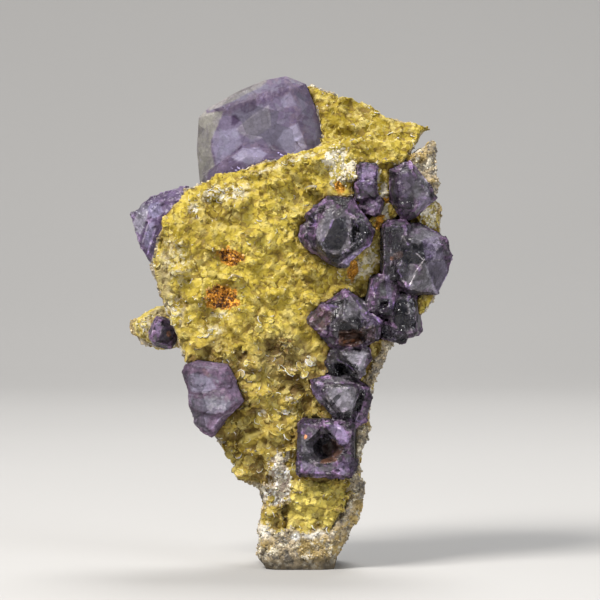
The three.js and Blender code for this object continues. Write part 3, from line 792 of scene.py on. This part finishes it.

# What shows on the crystals' fronts: milk is pale haze and bloom a lilac one, smoke is dark and
# clear, slate has no violet rim, rust is a brown stain, ember an orange chip, line a painted
# highlight along a crack or edge, glint holds painted sparks, and teeth are the frayed dark band of
# the top crystal. A mark is a zone, as for the rock, or a pane of straight sides, with its strength
# and its corners, clockwise, or a stroke, with its strength, its half width in mm and the way it runs.
crystalMarks = {
    "top_crystal": {
        "milk": [
            (-19.6, 85, 1.7, 8), (-12.4, 95.6, 6.6, 0.9, 0.8, 26),
            (1, (-20.2, 84.5), (-19.2, 91.9), (-14.9, 92.2), (-17.5, 86), (-19.5, 82.6)),
            (1, (-20.2, 84.5), (-17.5, 86.2), (-16.7, 81.1), (-19.1, 78.9)),
            (0.3, (-12.1, 88.5), (-9, 91.6), (-5.7, 93.5), (-5.3, 89.1), (-9, 86.5), (-11.1, 87.4)),
        ],
        "smoke": [
            # painted shade on the lower gem's bevel, which faces the key lamp
            (-9.6, 80, 7.6, 2.2, 0.4, 14),
            (0.7, (-19.5, 77.6), (-18.7, 79.5), (-13.2, 83.2), (-11.1, 80.4)),
            (0.3, (-5.2, 91.6), (-2.7, 93.2), (2.5, 91.9), (3, 90.8), (-1.5, 90.1), (-4.6, 90.1)),
            (1, (-13.3, 89.4), (-13.3, 91.3), (-12.4, 91.7), (-11.5, 90.4), (-12.5, 89.4)),
            (0.4, (-8.3, 84.5), (-1.5, 83.9), (-4, 81.7), (-7.4, 81.1)),
            (0.9, 0.2, (-18.9, 79.5), (-13.9, 82.9), (-11, 85.2)),
            (0.6, 0.16, (-11, 85.2), (-9, 86), (-5.2, 84.5), (-1.5, 83.5)),
            (0.4, 0.2, (-5.4, 89.1), (-1.5, 90.4), (2.5, 89.1)),
        ],
        "teeth": [(-6.6, 94.8, 5.4, 1.2, 1, 27)],
        "glint": [(-7.6, 81.6, 5.4, 1.6, 1, 12), (-14.4, 85.2, 1.6, 2.2, 0.4, 10)],
        "bloom": [
            (0.4, (-16.7, 88.2), (-12.1, 88.8), (-11.1, 85.7), (-16.1, 81.5), (-17.2, 85.1)),
            (0.7, (-4, 86.3), (-2.7, 88.5), (0.1, 89.8), (1.9, 84.8), (-1.2, 82.9)),
            (0.4, (-3.4, 94.7), (-1.5, 96), (0.1, 93.5), (-2.7, 92.9)),
            (0.5, (-13, 82.9), (-11, 84.8), (-7.7, 84.9), (-6.2, 83.7), (-7.4, 82), (-9.9, 81.4)),
        ],
        "line": [
            (0.45, 0.14, (0.1, 89.8), (1.9, 84.8)),
            (0.35, 0.14, (-12.1, 88.7), (-8.6, 91.5), (-5.8, 93.2), (-5.4, 89.4)),
            (0.5, 0.2, (-8, 86.9), (-7.2, 87)), (0.5, 0.22, (-5.9, 85.7), (-4.6, 84.5)),
        ],
    },
    "left_back_crystal": {
        "glint": [(-26, 67.5, 2.6, 5.2, 1, -38)],
        "smoke": [(-27.2, 66.6, 2.4, 5.6, 0.75, -34)],
        "milk": [(-31.6, 70.6, 1.2, 3, 0.7, -18)],
        "bloom": [(-28.6, 72.4, 1.4, 1.4, 0.6, 20), (-29.8, 67.4, 0.6, 2.6, 0.6, -16)],
        "line": [(-29.4, 66, 0.2, 2.8, 0.6, -18), (-30.6, 67.6, 0.16, 2.4, 0.5, -18)],
    },
    "left_front_crystal": {
        "rust": [(-18, 40, 1.1, 0.4, 0.16, -45)],
        "glint": [(-14.4, 37.4, 1.6, 2.4, 0.35, -20)],
        "bloom": [
            (0.5, (-21.9, 38.1), (-21.5, 39.6), (-20, 40.1), (-17.1, 38.8), (-16, 36.9), (-18.1, 36.1),
             (-21.1, 36.3)),
        ],
        "smoke": [
            (0.45, (-18.1, 36.2), (-16.4, 37.1), (-16, 36.6), (-16.9, 35.6)),
            (0.3, (-18.4, 31.1), (-17.2, 31.2), (-16.7, 30.2), (-18.1, 29.4)),
            (0.4, (-16.6, 28.4), (-14.4, 31.5), (-13.6, 30.4), (-15.3, 28), (-16.7, 26.9)),
            (0.75, 0.15, (-21.6, 35.9), (-19.4, 36.1), (-17.4, 35.7), (-15.1, 34.9), (-10.8, 35.1)),
            (0.6, 0.14, (-21.1, 32.9), (-18.6, 32.1), (-17.2, 31.5), (-14.4, 32.1)),
        ],
        "milk": [
            (0.5, (-21.4, 35.6), (-15.1, 34.6), (-12.4, 34.4), (-13.7, 32.7), (-17.4, 31.6), (-20.7, 33.1)),
            (0.35, (-21.1, 32.6), (-18.7, 32), (-17.2, 31.3), (-18.2, 28.8), (-20.4, 29.6)),
        ],
        "line": [
            (0.5, 0.14, (-21.6, 35.6), (-20.1, 35.6), (-18.9, 35.3)),
            (0.6, 0.15, (-20.5, 29.6), (-18.1, 28.5), (-16.6, 29.2)),
            (0.6, 0.14, (-16.6, 29.3), (-15.7, 30.6), (-14.4, 31.7), (-12.7, 32.1)),
            (0.7, 0.14, (-20.6, 31.2), (-19.4, 31.8)),
            (0.35, 0.13, (-18.7, 35.4), (-17.4, 34.7), (-15.7, 34.6)),
            (0.35, 0.13, (-19.4, 34.6), (-17.4, 33.7), (-15.7, 34.1)),
            (0.5, 0.16, (-21.6, 35.1), (-21.1, 34.2), (-21.2, 32.7)),
        ],
    },
    "left_small_crystal": {
        "ember": [(-25.9, 47.4, 0.4, 0.6, 0.6, 20)],
        "bloom": [(-26.6, 48.2, 1.8, 1.8, 0.35, 20)],
    },
    "upper_small_crystals": {"bloom": [(13.9, 78.6, 1.5, 2.4, 0.5), (15.4, 73.4, 1.3, 1, 0.35, 20)]},
    "round_crystal": {
        "slate": [(8.8, 67.4, 4.6, 5, 1, -14), (9.8, 63, 3.4, 1.6, 1, 38)],
        "glint": [(11.8, 67.8, 2.2, 3.4, 0.8, 12)],
        "smoke": [
            (0.85, (4.9, 66.3), (6.3, 68.6), (7.2, 70.6), (9.5, 71.1), (10.3, 67.7), (8.6, 64.4),
             (5.5, 64.8)),
            (1, (9.8, 70.9), (12.6, 71.4), (14.7, 67.9), (11.9, 64.5), (8.7, 63.1), (7.6, 63.4),
             (10.3, 67.7)), (0.9, 0.18, (7.2, 62.4), (11.3, 65), (15.2, 67.3)),
        ],
        "milk": [
            (0.4, (3.8, 67.3), (4.2, 69.6), (6.7, 72.2), (7.3, 70.6), (6.2, 68.5), (4.9, 66.4)),
            (0.5, (11, 68.4), (11.9, 68.8), (12.6, 67), (11.3, 66.1)),
        ],
        "bloom": [(0.8, (8.7, 62), (11.3, 64), (14.7, 65.9), (14.8, 65), (9.9, 61.6))],
        "line": [
            (0.6, 0.15, (7.2, 70.6), (6.4, 68.6), (5.1, 66.4)),
            (0.5, 0.14, (11, 70.7), (12, 69.1), (11.9, 67.3)),
            (0.6, 0.15, (8.3, 61.6), (11, 63.6), (14.9, 65.7)),
        ],
    },
    "right_cluster": {
        "slate": [
            (24.4, 62, 4.2, 5.4, 0.9, 8), (19.4, 63.6, 2, 5.4, 0.7, 8), (21.6, 51.6, 1.8, 3.4, 1, -14),
        ],
        "milk": [
            (20, 63.6, 1.3, 0.9, 1, 20), (27.4, 62, 2.2, 6.4, 0.75, 14), (25, 67.2, 3.6, 1.6, 0.6, -18),
            (25.6, 57.2, 3.2, 1.4, 0.45, 10), (24.8, 76.8, 1.7, 2.4, 0.6, 10),
        ],
        "bloom": [
            (21.4, 77.6, 1.8, 2.6, 0.4, -20), (25.4, 73.8, 1.4, 1.4, 0.4), (27.8, 61.6, 2, 5.4, 0.45, 14),
            (18.2, 57, 0.5, 2.4, 0.7, 8),
        ],
        "smoke": [
            (22.6, 63.6, 2, 1.9, 1, 8), (25.6, 64, 1.6, 2, 1, -8), (19.4, 63.6, 2.6, 5.6, 0.75, 8),
            (21.6, 51.6, 2.3, 3.2), (21.4, 73.8, 2, 1.3, 0.6), (17.6, 53, 1.5, 1.7, 0.8),
            (19.4, 47.6, 3, 1.4, 0.8, -18),
        ],
        "ember": [(20.1, 63.4, 1, 0.7, 0.07, 20), (18.9, 62.8, 0.4, 0.4, 0.2)],
        "glint": [(19.6, 80, 1.6, 2.2, 0.5), (19.4, 47.6, 3, 1.6, 0.6, -18)],
        "line": [
            (22.8, 58.4, 1.3, 0.1, 0.8, 62), (24.4, 61.4, 1.6, 0.1, 0.8, 54),
            (24.4, 63.2, 1, 0.09, 0.5, -42), (15.3, 56, 0.1, 1.4, 0.3, 10),
        ],
    },
    "lower_chain": {
        "slate": [
            (10.6, 50.6, 4, 4.2), (10, 41.4, 3.8, 3.4, 0.8), (8.8, 34.6, 3.6, 3.4),
            (4.6, 24.8, 4, 4, 0.9, 45),
        ],
        "milk": [
            (11.4, 42.4, 2.4, 1.9, 0.6, 6), (9, 35, 2.8, 2.4, 0.45, 12), (2.9, 25.6, 2.2, 1.3, 0.4, 48),
            (0.4, (7.6, 50.7), (8.1, 52.8), (10, 54.6), (10.9, 53.2), (10.7, 51.5)),
            (0.25, (10.9, 54.1), (13.2, 52.1), (13.5, 50.2), (11.2, 51.8)),
        ],
        "bloom": [
            (8.6, 27.8, 2.4, 1.2, 0.55, -50), (9.6, 21.4, 2, 1.2, 0.45, 38),
            (3.2, 20.6, 2.6, 0.9, 0.35, -30), (4.4, 36.4, 1.4, 1.6, 0.4, 30),
            (0.35, (13.2, 50.7), (14.5, 52), (16.3, 50.7), (16, 49.7), (13.5, 49.1)),
        ],
        "smoke": [
            (11.2, 47.6, 2.9, 1.9, 1, -8), (9.2, 40.6, 3, 1.4), (12.6, 34.4, 0.7, 2.4, 0.9, -18),
            (6.4, 33.4, 0.5, 3.2, 0.8, -42), (8.4, 31.4, 2.4, 0.7, 0.8, 8), (6.2, 24.8, 2.7, 2.5, 0.75, 45),
            (2, 23.2, 1, 1, 0.8, 45),
            (0.7, (8.4, 48.6), (8.9, 50.7), (12, 51.2), (13.4, 49.6), (11.4, 48.9)),
            (0.85, 0.25, (10, 54.6), (9.5, 52.6)), (0.85, 0.28, (8.2, 52.6), (6.5, 49.1)),
        ],
        "rust": [
            (10.8, 47, 2.6, 1.7, 0.75), (14.2, 47.8, 1.4, 1.6, 0.5), (4.6, 50.4, 1.8, 2.6, 0.45, -38),
            (7.2, 24.6, 1.8, 1.7, 0.6, 45), (6.4, 22.5, 1.7, 0.4, 0.9, 10),
        ],
        "ember": [(1.7, 27.2, 0.22, 0.4, 0.9, -10), (10.4, 46.2, 1.2, 0.3, 0.3, 10)],
        "glint": [(14.6, 47.4, 2.4, 3.2, 0.4), (9.8, 25.8, 0.8, 1.6, 0.5, -40)],
        "line": [
            (9.2, 42, 1.4, 0.12, 0.8, -28), (11, 40.8, 1, 0.12, 0.8, -48), (7.6, 37.7, 1.8, 0.11, 0.5, 4),
            (6.2, 34.4, 0.11, 1.6, 0.4, 16), (13.4, 51.2, 1.3, 0.12, 0.5, -52),
            (3.4, 21.8, 1.3, 0.11, 0.5, -46), (0.3, 22, 0.1, 2.4, 0.4),
            (0.95, 0.24, (6.5, 53.5), (8.2, 53)), (0.85, 0.22, (12, 54.3), (13.1, 52.3)),
            (0.95, 0.24, (13.4, 53.9), (14.6, 53)),
            (0.9, 0.22, (13.1, 51.7), (14.5, 52.4), (16, 51), (16.7, 49.8)),
            (0.7, 0.2, (13.2, 48.8), (16.7, 49.8)), (0.6, 0.2, (3.3, 48.7), (5.8, 48.8)),
        ],
    },
}

# Four kinds of fluorite, a column each. The rim colours lie along the edges, the core colours
# inside the faces; haze is how milky each is, from 0, clear, to 1, solid.
skinKinds = ("dark", "pale", "violet", "milky")
skinColumns = {
    "core": ((0.128, 0.118, 0.132), (0.18, 0.162, 0.23), (0.17, 0.13, 0.23), (0.172, 0.155, 0.205)),
    "deep": ((0.02, 0.013, 0.024), (0.115, 0.085, 0.15), (0.07, 0.04, 0.10), (0.09, 0.06, 0.10)),
    "rim": ((0.145, 0.085, 0.16), (0.17, 0.13, 0.185), (0.20, 0.145, 0.24), (0.155, 0.10, 0.16)),
    "glint": ((0.42, 0.38, 0.48), (0.55, 0.47, 0.80), (0.52, 0.42, 0.74), (0.50, 0.42, 0.62)),
    "milk": ((0.225, 0.215, 0.25), (0.25, 0.24, 0.215), (0.28, 0.28, 0.32), (0.235, 0.235, 0.30)),
    "smoke": ((0.022, 0.022, 0.03), (0.04, 0.025, 0.055), (0.07, 0.04, 0.10), (0.10, 0.07, 0.10)),
    "bloom": ((0.22, 0.17, 0.29), (0.32, 0.30, 0.42), (0.27, 0.25, 0.40), (0.25, 0.24, 0.325)),
    "rust": ((0.11, 0.05, 0.028),) + ((0.3, 0.16, 0.08),) * 3,
    "ember": ((0.80, 0.32, 0.12),) * 4,
    # line and violetLine colour the painted highlights along edges, cracks and scratches; glint colours the
    # painted sparks.
    "line": ((0.52, 0.47, 0.50), (0.44, 0.41, 0.46), (0.60, 0.56, 0.66), (0.45, 0.41, 0.46)),
    "violetLine": ((0.30, 0.19, 0.46), (0.44, 0.38, 0.54), (0.46, 0.36, 0.66), (0.42, 0.35, 0.52)),
    "through": ((0.42, 0.36, 0.50), (0.60, 0.53, 0.70), (0.55, 0.46, 0.68), (0.55, 0.5, 0.66)),
    "density": (420, 150, 200, 200),           # absorption to the metre
    "coreHaze": (0.65, 0.6, 0.6, 0.7),
    "rimHaze": (0.7, 0.65, 0.7, 0.75),
    "milkHaze": (0.85, 0.75, 0.8, 0.8),
    "smokeHaze": (0.3, 0.85, 0.5, 0.6),
    "rough": (0.3, 0.48, 0.34, 0.5),
    "rimRough": (0.42, 0.5, 0.42, 0.5),
    "smokeRough": (0.16, 0.75, 0.3, 0.4),
    "specular": (0.3, 0.15, 0.4, 0.25),
    "reach": (0.9, 1.3, 1.0, 1.3),             # mm, how wide the rims are
    # edge: how strong the painted highlights along the edges and scratches are
    "edge": (0.42, 0.08, 0.25, 0.12),          # how bright the edges and scratches are
    "faces": (0.62, 0.08, 0.22, 0.16),         # how much one face differs from the next
    "grain": (0.34, 0.15, 0.25, 0.2),
    "spark": (0.1, 0.1, 0.25, 0.1),
    "largeFacets": ((2.9, 0.26, 0.3), (5.5, 0.12, 0.2), (3.0, 0.22, 0.2), (3.8, 0.36, 0.22)),
    "smallFacets": ((1.1, 0.12, 0.3), (1.2, 0.08, 0.07), (0.9, 0.18, 0.22), (1.3, 0.18, 0.2)),
    "voxel": (0.18, 0.23, 0.19, 0.19),         # mm, the mesh that fuses the growth steps
    "blockRise": (0.06, 0.0, 0.05, 0.04),      # mm that small blocks stand out or in
}
skins = {kind: {key: values[i] for key, values in skinColumns.items()} for i, kind in enumerate(skinKinds)}
fluoriteIor = 1.434


# The crystal as flat faces with its convex edges cut into short pieces, each of which knows
# which way it runs, one face's direction and the way into the crystal. Gives places along the
# creases and the flat faces too.
def facetedCrystal(name):
    mesh = weldedCopy(name, name + "_grown")
    with opened(mesh) as bm:
        bmesh.ops.remove_doubles(bm, verts=bm.verts, dist=sliver)
        bmesh.ops.dissolve_degenerate(bm, edges=bm.edges, dist=sliver)
        bmesh.ops.dissolve_limit(bm, angle_limit=flatAngle, verts=bm.verts, edges=bm.edges)
        bm.normal_update()
        faces = BVHTree.FromBMesh(bm)
        sharp = [e for e in bm.edges if len(e.link_faces) == 2 and e.calc_face_angle(0) > creaseAngle]
        creases = []
        for edge in sharp:
            first, second = edge.verts[0].co, edge.verts[1].co
            count = max(1, int((second - first).length / creaseStep))
            creases += [first.lerp(second, i / count) for i in range(count + 1)]
        run = bm.faces.layers.float_vector.new("run")
        for face in bm.faces:
            longest = max(face.edges, key=lambda e: e.calc_length())
            face[run] = longest.verts[1].co - longest.verts[0].co
        for edge in [e for e in sharp if e.is_convex]:
            pieces = round(edge.calc_length() / blockStep)
            if pieces > 1:
                bmesh.ops.subdivide_edges(bm, edges=[edge], cuts=pieces - 1)
        bm.normal_update()
        layers = bm.edges.layers
        along, facing, inward = (layers.float_vector.new(key) for key in ("along", "facing", "inward"))
        convex = layers.float.new("convex")
        for edge in bm.edges:
            if len(edge.link_faces) == 2 and edge.is_convex and edge.calc_face_angle(0) > creaseAngle:
                one, other = edge.link_faces[0].normal, edge.link_faces[1].normal
                edge[along] = edge.verts[1].co - edge.verts[0].co
                edge[facing] = one
                edge[inward] = -(one + other)
                edge[convex] = 1.0
    return addObject(name + "_grown", mesh), creases, faces


def growthTree():
    g = Geometry("stepped growth", growths["dark"])
    body, block, plate = (g.given[label] for label in ("Geometry", "Block", "Plate"))
    cube = g.add("GeometryNodeMeshCube", {"Size": (1.0, 1.0, 1.0)}).outputs["Mesh"]

    chosen = g.math("LESS_THAN", g.random(0.0, 1.0, 3), g.times(g.named("convex"), g.given["Chance"]))
    edges = g.add("GeometryNodeMeshToPoints", {"Mesh": body, "Selection": chosen}, mode="EDGES")
    half = g.times(block, g.random(0.45, 1.3, 12))
    rise = g.times(g.given["Rise"], g.random(-0.3, 1.0, 14))
    inward = g.vector("SCALE", g.named("inward", "FLOAT_VECTOR"), g.minus(half, rise))
    turned = g.aligned(g.named("facing", "FLOAT_VECTOR"))
    turned = g.aligned(g.named("along", "FLOAT_VECTOR"), "X", turned, "Z")
    width = g.times(half, 2.0)
    size = g.combined(g.times(block, g.random(0.9, 2.6, 16)), width, width)
    blocks = g.instances(g.moved(edges.outputs[0], inward), cube, turned, size)

    points = g.add("GeometryNodeDistributePointsOnFaces", {
        "Mesh": body, "Density": g.given["Plates"], "Seed": g.given["Seed"]}, distribute_method="RANDOM")
    normal = points.outputs["Normal"]
    stand = g.minus(g.times(g.given["PlateRise"], g.random(0.1, 1.0, 18)), plateDepth / 2)
    flat = g.aligned(g.named("run", "FLOAT_VECTOR"), "X", g.aligned(normal), "Z")
    size = g.combined(g.times(plate, g.random(0.35, 1.5, 20)),
                      g.times(plate, g.random(0.35, 1.2, 22)), plateDepth)
    placed = g.moved(points.outputs["Points"], g.vector("SCALE", normal, stand))
    plates = g.instances(placed, cube, flat, size)
    return g.finish([body, blocks, plates], None)


def crystalMasks(name, skin, points, normals, away):
    front = ramp(-normals[:, 1], -0.1, 0.2)
    ragged = 0.16 * fractal(points, 1.6, 3, 8.0)
    worn = 0.3 + 0.7 * ramp(fractal(points, 0.8, 2, 11.0), -0.25, 0.2)
    kinds = ("milk", "bloom", "smoke", "rust", "ember", "line", "glint", "teeth", "slate")
    masks = {kind: np.zeros(len(points)) for kind in kinds}

    def add(kind, values):
        masks[kind] = np.maximum(masks[kind], values)

    for kind, marks in crystalMarks.get(name, {}).items():
        for mark in marks:
            corners = [value for value in mark if isinstance(value, tuple)]
            strength, *halfWidth = mark[:len(mark) - len(corners)]
            if not corners:
                inside = zoneMask(points, [mark], 0.1, ragged, 4)
            elif halfWidth:
                inside = strength * strokeMask(points, corners, *halfWidth) * worn
            else:
                inside = strength * paneMask(points, corners, ragged)
            add(kind, inside * front)
    feathered = ramp(fractal(points * (1.5, 1, 0.6), 0.8, 3, 5.0), -0.4, 0.3)
    add("smoke", masks.pop("teeth") * (0.3 + 0.5 * feathered))
    broken = ramp(fractal(points, 1.5, 3, 7.0), 0.1, 0.35)
    # Painted highlight along the crystal's edges, broken in places.
    add("line", skin["edge"] * bell(away, 0.22) * broken)
    masks["rim"] = bell(away, skin["reach"]) * (1 - 0.9 * masks.pop("slate"))
    return masks


# A crystal with its stepped edges and plates fused into one mesh, and its masks.
def growCrystal(name, kind, geometry):
    skin = skins[kind]
    made, creases, faces = facetedCrystal(name)
    geometry.apply(made, growths[kind])
    addRemesh(made, skin["voxel"])
    bakeModifiers(made)
    mesh = made.data
    points = readVectors(mesh, "co")
    normals = readVectors(mesh, "normal")
    tree = KDTree(len(creases))
    for i, place in enumerate(creases):
        tree.insert(place, i)
    tree.balance()
    away = np.array([tree.find(Vector(p))[2] for p in points]) / mm
    own = np.array([faces.find_nearest(Vector(p))[2] for p in points])
    points = points / mm
    if skin["blockRise"]:
        stand = skin["blockRise"] * (blockSteps(points, 0.9) + 0.8 * fractal(points, 0.7, 2, 3.0))
        stand *= 0.7 + bell(away, skin["reach"])
        writePoints(mesh, (points + normals * stand[:, None]) * mm)
    mesh.set_sharp_from_angle(angle=creaseAngle)
    faceTones = np.random.default_rng(5).random(own.max() + 1)
    writeMasks(mesh, {**crystalMasks(name, skin, points, normals, away), "face": faceTones[own]})
    print("crystal:", made.name, len(mesh.polygons), "faces")
    return made


def crystalMaterial(name, skin):
    n = Material(name)
    mottle = n.noise(2.4, 4, 0.6, 0.4)
    block, fleck = n.cellTone(0.85), n.cellTone(0.45)
    facets = (skin["largeFacets"], skin["smallFacets"])
    reliefs = [n.facets(size, slope) for size, slope, change in facets]
    patch = n.plus(n.times(reliefs[0][1], 0.5), n.times(reliefs[1][1], 0.5))
    rimHere = n.plus(n.mask("rim"), n.spread(mottle, 0.3, 0.7, -0.3, 0.35))
    rimHere = n.spread(n.plus(rimHere, n.spread(block, 0, 1, -0.2, 0.2)), 0.2, 0.8)
    rim = n.mix(n.spread(block, 0.1, 0.95), skin["deep"], skin["rim"])
    core = n.mix(n.spread(patch, 0.52, 0.6, 0, 0.65), skin["core"], skin["deep"])
    tint = n.mix(rimHere, core, rim)
    # The colour of the painted highlight lines.
    line = n.mix(n.spread(n.noise(2.2, 2), 0.44, 0.52), skin["violetLine"], skin["line"])
    haze = n.blend(rimHere, skin["coreHaze"], skin["rimHaze"])
    rough = n.blend(rimHere, skin["rough"], skin["rimRough"])
    for kind, haziness, roughness in (
            ("milk", skin["milkHaze"], 0.35), ("smoke", skin["smokeHaze"], skin["smokeRough"]),
            ("bloom", 0.75, 0.4), ("rust", 0.6, 0.4), ("ember", 0.8, 0.3), ("line", 0.85, 0.4)):
        here = n.mask(kind)
        if kind in ("milk", "smoke"):
            here = n.times(here, n.spread(mottle, 0.3, 0.6, 0.6, 1))
        tint = n.mix(here, tint, line if kind == "line" else skin[kind])
        haze = n.blend(here, haze, haziness)
        rough = n.blend(here, rough, roughness)
    grain = n.spread(n.noise(0.55, 4, 0.75), 0.32, 0.68, 1 - skin["grain"], 1 + skin["grain"])
    normal = n.bump(n.noise(0.5, 3, 0.6), 0.05, 0.45)
    for (height, tone), (size, slope, change) in zip(reliefs, facets):
        normal = n.bump(height, 1.0, 1.0, normal)
        grain = n.times(grain, n.spread(tone, 0.15, 0.85, 1 - change, 1 + change))
    own = n.spread(n.mask("face"), 0, 1, 1 - skin["faces"], 1 + skin["faces"])
    tint = n.toned(tint, n.times(grain, own))
    # Painted highlights: bright scratches along the veins, and sparks.
    scratchHighlight = n.times(n.spread(mottle, 0.5, 0.6), skin["edge"])
    spark = n.times(n.spread(fleck, 0.84, 0.9), n.spread(mottle, 0.45, 0.6))
    glinting = n.math("MAXIMUM", n.times(rimHere, skin["spark"]), n.mask("glint"))
    absorb = n.add("ShaderNodeVolumeAbsorption", {"Color": skin["through"], "Density": skin["density"]})
    n.put(n.tree.nodes["Material Output"].inputs["Volume"], absorb.outputs[0])
    return n.finish({
        "Base Color": n.layers(
            tint, (n.times(n.veins(1.5, 0.011), scratchHighlight), skin["line"]),
            (n.times(spark, glinting), skin["glint"])),
        "Transmission Weight": n.minus(1.0, haze), "Roughness": rough, "IOR": fluoriteIor,
        "Specular IOR Level": skin["specular"], "Normal": normal})


stage = {
    "wall": 1.1,          # metres behind the specimen
    "bend": 0.5,
    "width": 8.0,
    "reach": 3.0,         # metres of floor in front
    "height": 3.0,
    "steps": 16,
    "tint": (0.40, 0.393, 0.383),
}
view = {
    "centre": (0.6 * mm, -10 * mm, 54.4 * mm),
    "width": 0.12,        # metres across the frame, at the centre
    "lens": 200,
    "sensor": 36,
    "elevation": 2.0,     # degrees
}
sky = {"tint": (0.9, 0.93, 1.0), "strength": 0.24}
lamps = [
    # place in metres, size, watts, tint
    ((-0.5, -0.55, 0.85), 0.38, 20.0, (1.0, 0.97, 0.93)),
    ((0.65, -0.6, 0.3), 0.4, 3.6, (0.95, 0.97, 1.0)),
    ((0.1, 0.35, 0.8), 0.4, 6.0, (1.0, 1.0, 1.0)),
]


def makeStage():
    profile = [(-stage["reach"], 0.0)]
    for i in range(stage["steps"] + 1):
        angle = math.radians(90 * i / stage["steps"])
        profile.append((stage["wall"] - stage["bend"] * (1 - math.sin(angle)),
                        stage["bend"] * (1 - math.cos(angle))))
    profile.append((stage["wall"], stage["height"]))
    half = stage["width"] / 2
    points = [(x, y, z) for y, z in profile for x in (-half, half)]
    faces = [(2 * i, 2 * i + 1, 2 * i + 3, 2 * i + 2) for i in range(len(profile) - 1)]
    mesh = bpy.data.meshes.new("floor")
    mesh.from_pydata(points, [], faces)
    mesh.shade_smooth()
    n = Material("paleFloor")
    dust = n.spread(n.noise(350, 2), 0.3, 0.7, 0.97, 1.0)
    mesh.materials.append(n.finish({"Base Color": n.toned(stage["tint"], dust), "Roughness": 0.85}))
    floor = addObject("floor", mesh)


def makeLights():
    world = bpy.data.worlds.new("studio")
    world.use_nodes = True
    background = world.node_tree.nodes["Background"].inputs
    background["Color"].default_value = (*sky["tint"], 1)
    background["Strength"].default_value = sky["strength"]
    scene.world = world
    for i, (place, size, power, tint) in enumerate(lamps):
        light = bpy.data.lights.new(f"softbox{i}", "AREA")
        light.size = size
        light.energy = power
        light.color = tint
        lamp = addObject(f"softbox{i}", light)
        lamp.location = place
        aim = Vector(view["centre"]) - Vector(place)
        lamp.rotation_euler = aim.to_track_quat("-Z", "Y").to_euler()


def makeCamera():
    camera = bpy.data.cameras.new("camera")
    camera.lens = view["lens"]
    camera.sensor_width = view["sensor"]
    camera.clip_start = 0.01
    made = addObject("camera", camera)
    distance = view["width"] * view["lens"] / view["sensor"]
    tilt = math.radians(view["elevation"])
    made.location = Vector(view["centre"]) + Vector((0, -math.cos(tilt), math.sin(tilt))) * distance
    made.rotation_euler = (math.pi / 2 - tilt, 0, 0)
    scene.camera = made
    scene.view_settings.view_transform = "Standard"


makeCamera()
makeLights()
makeStage()
print("camera, lights and floor done")

fine = fineRock()
fine.data.materials.append(rockMaterial())
small = scatterLayers(fine, bookTree(micaMaterial()), bookLayers)
small += scatterLayers(fine, grainTree(grainMaterial()), grainLayers)
for piece in [fine] + small:
    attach(piece, "root")
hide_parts("matrix")
print("matrix, mica and grains done")

materials = {kind: crystalMaterial(kind + "Fluorite", skin) for kind, skin in skins.items()}
growth = growthTree()
for name in crystalNames:
    skin = crystalSkins.get(name, "dark")
    grown = growCrystal(name, skin, growth)
    grown.data.materials.clear()
    grown.data.materials.append(materials[skin])
    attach(grown, "root")
    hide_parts(name)
print("crystals done")
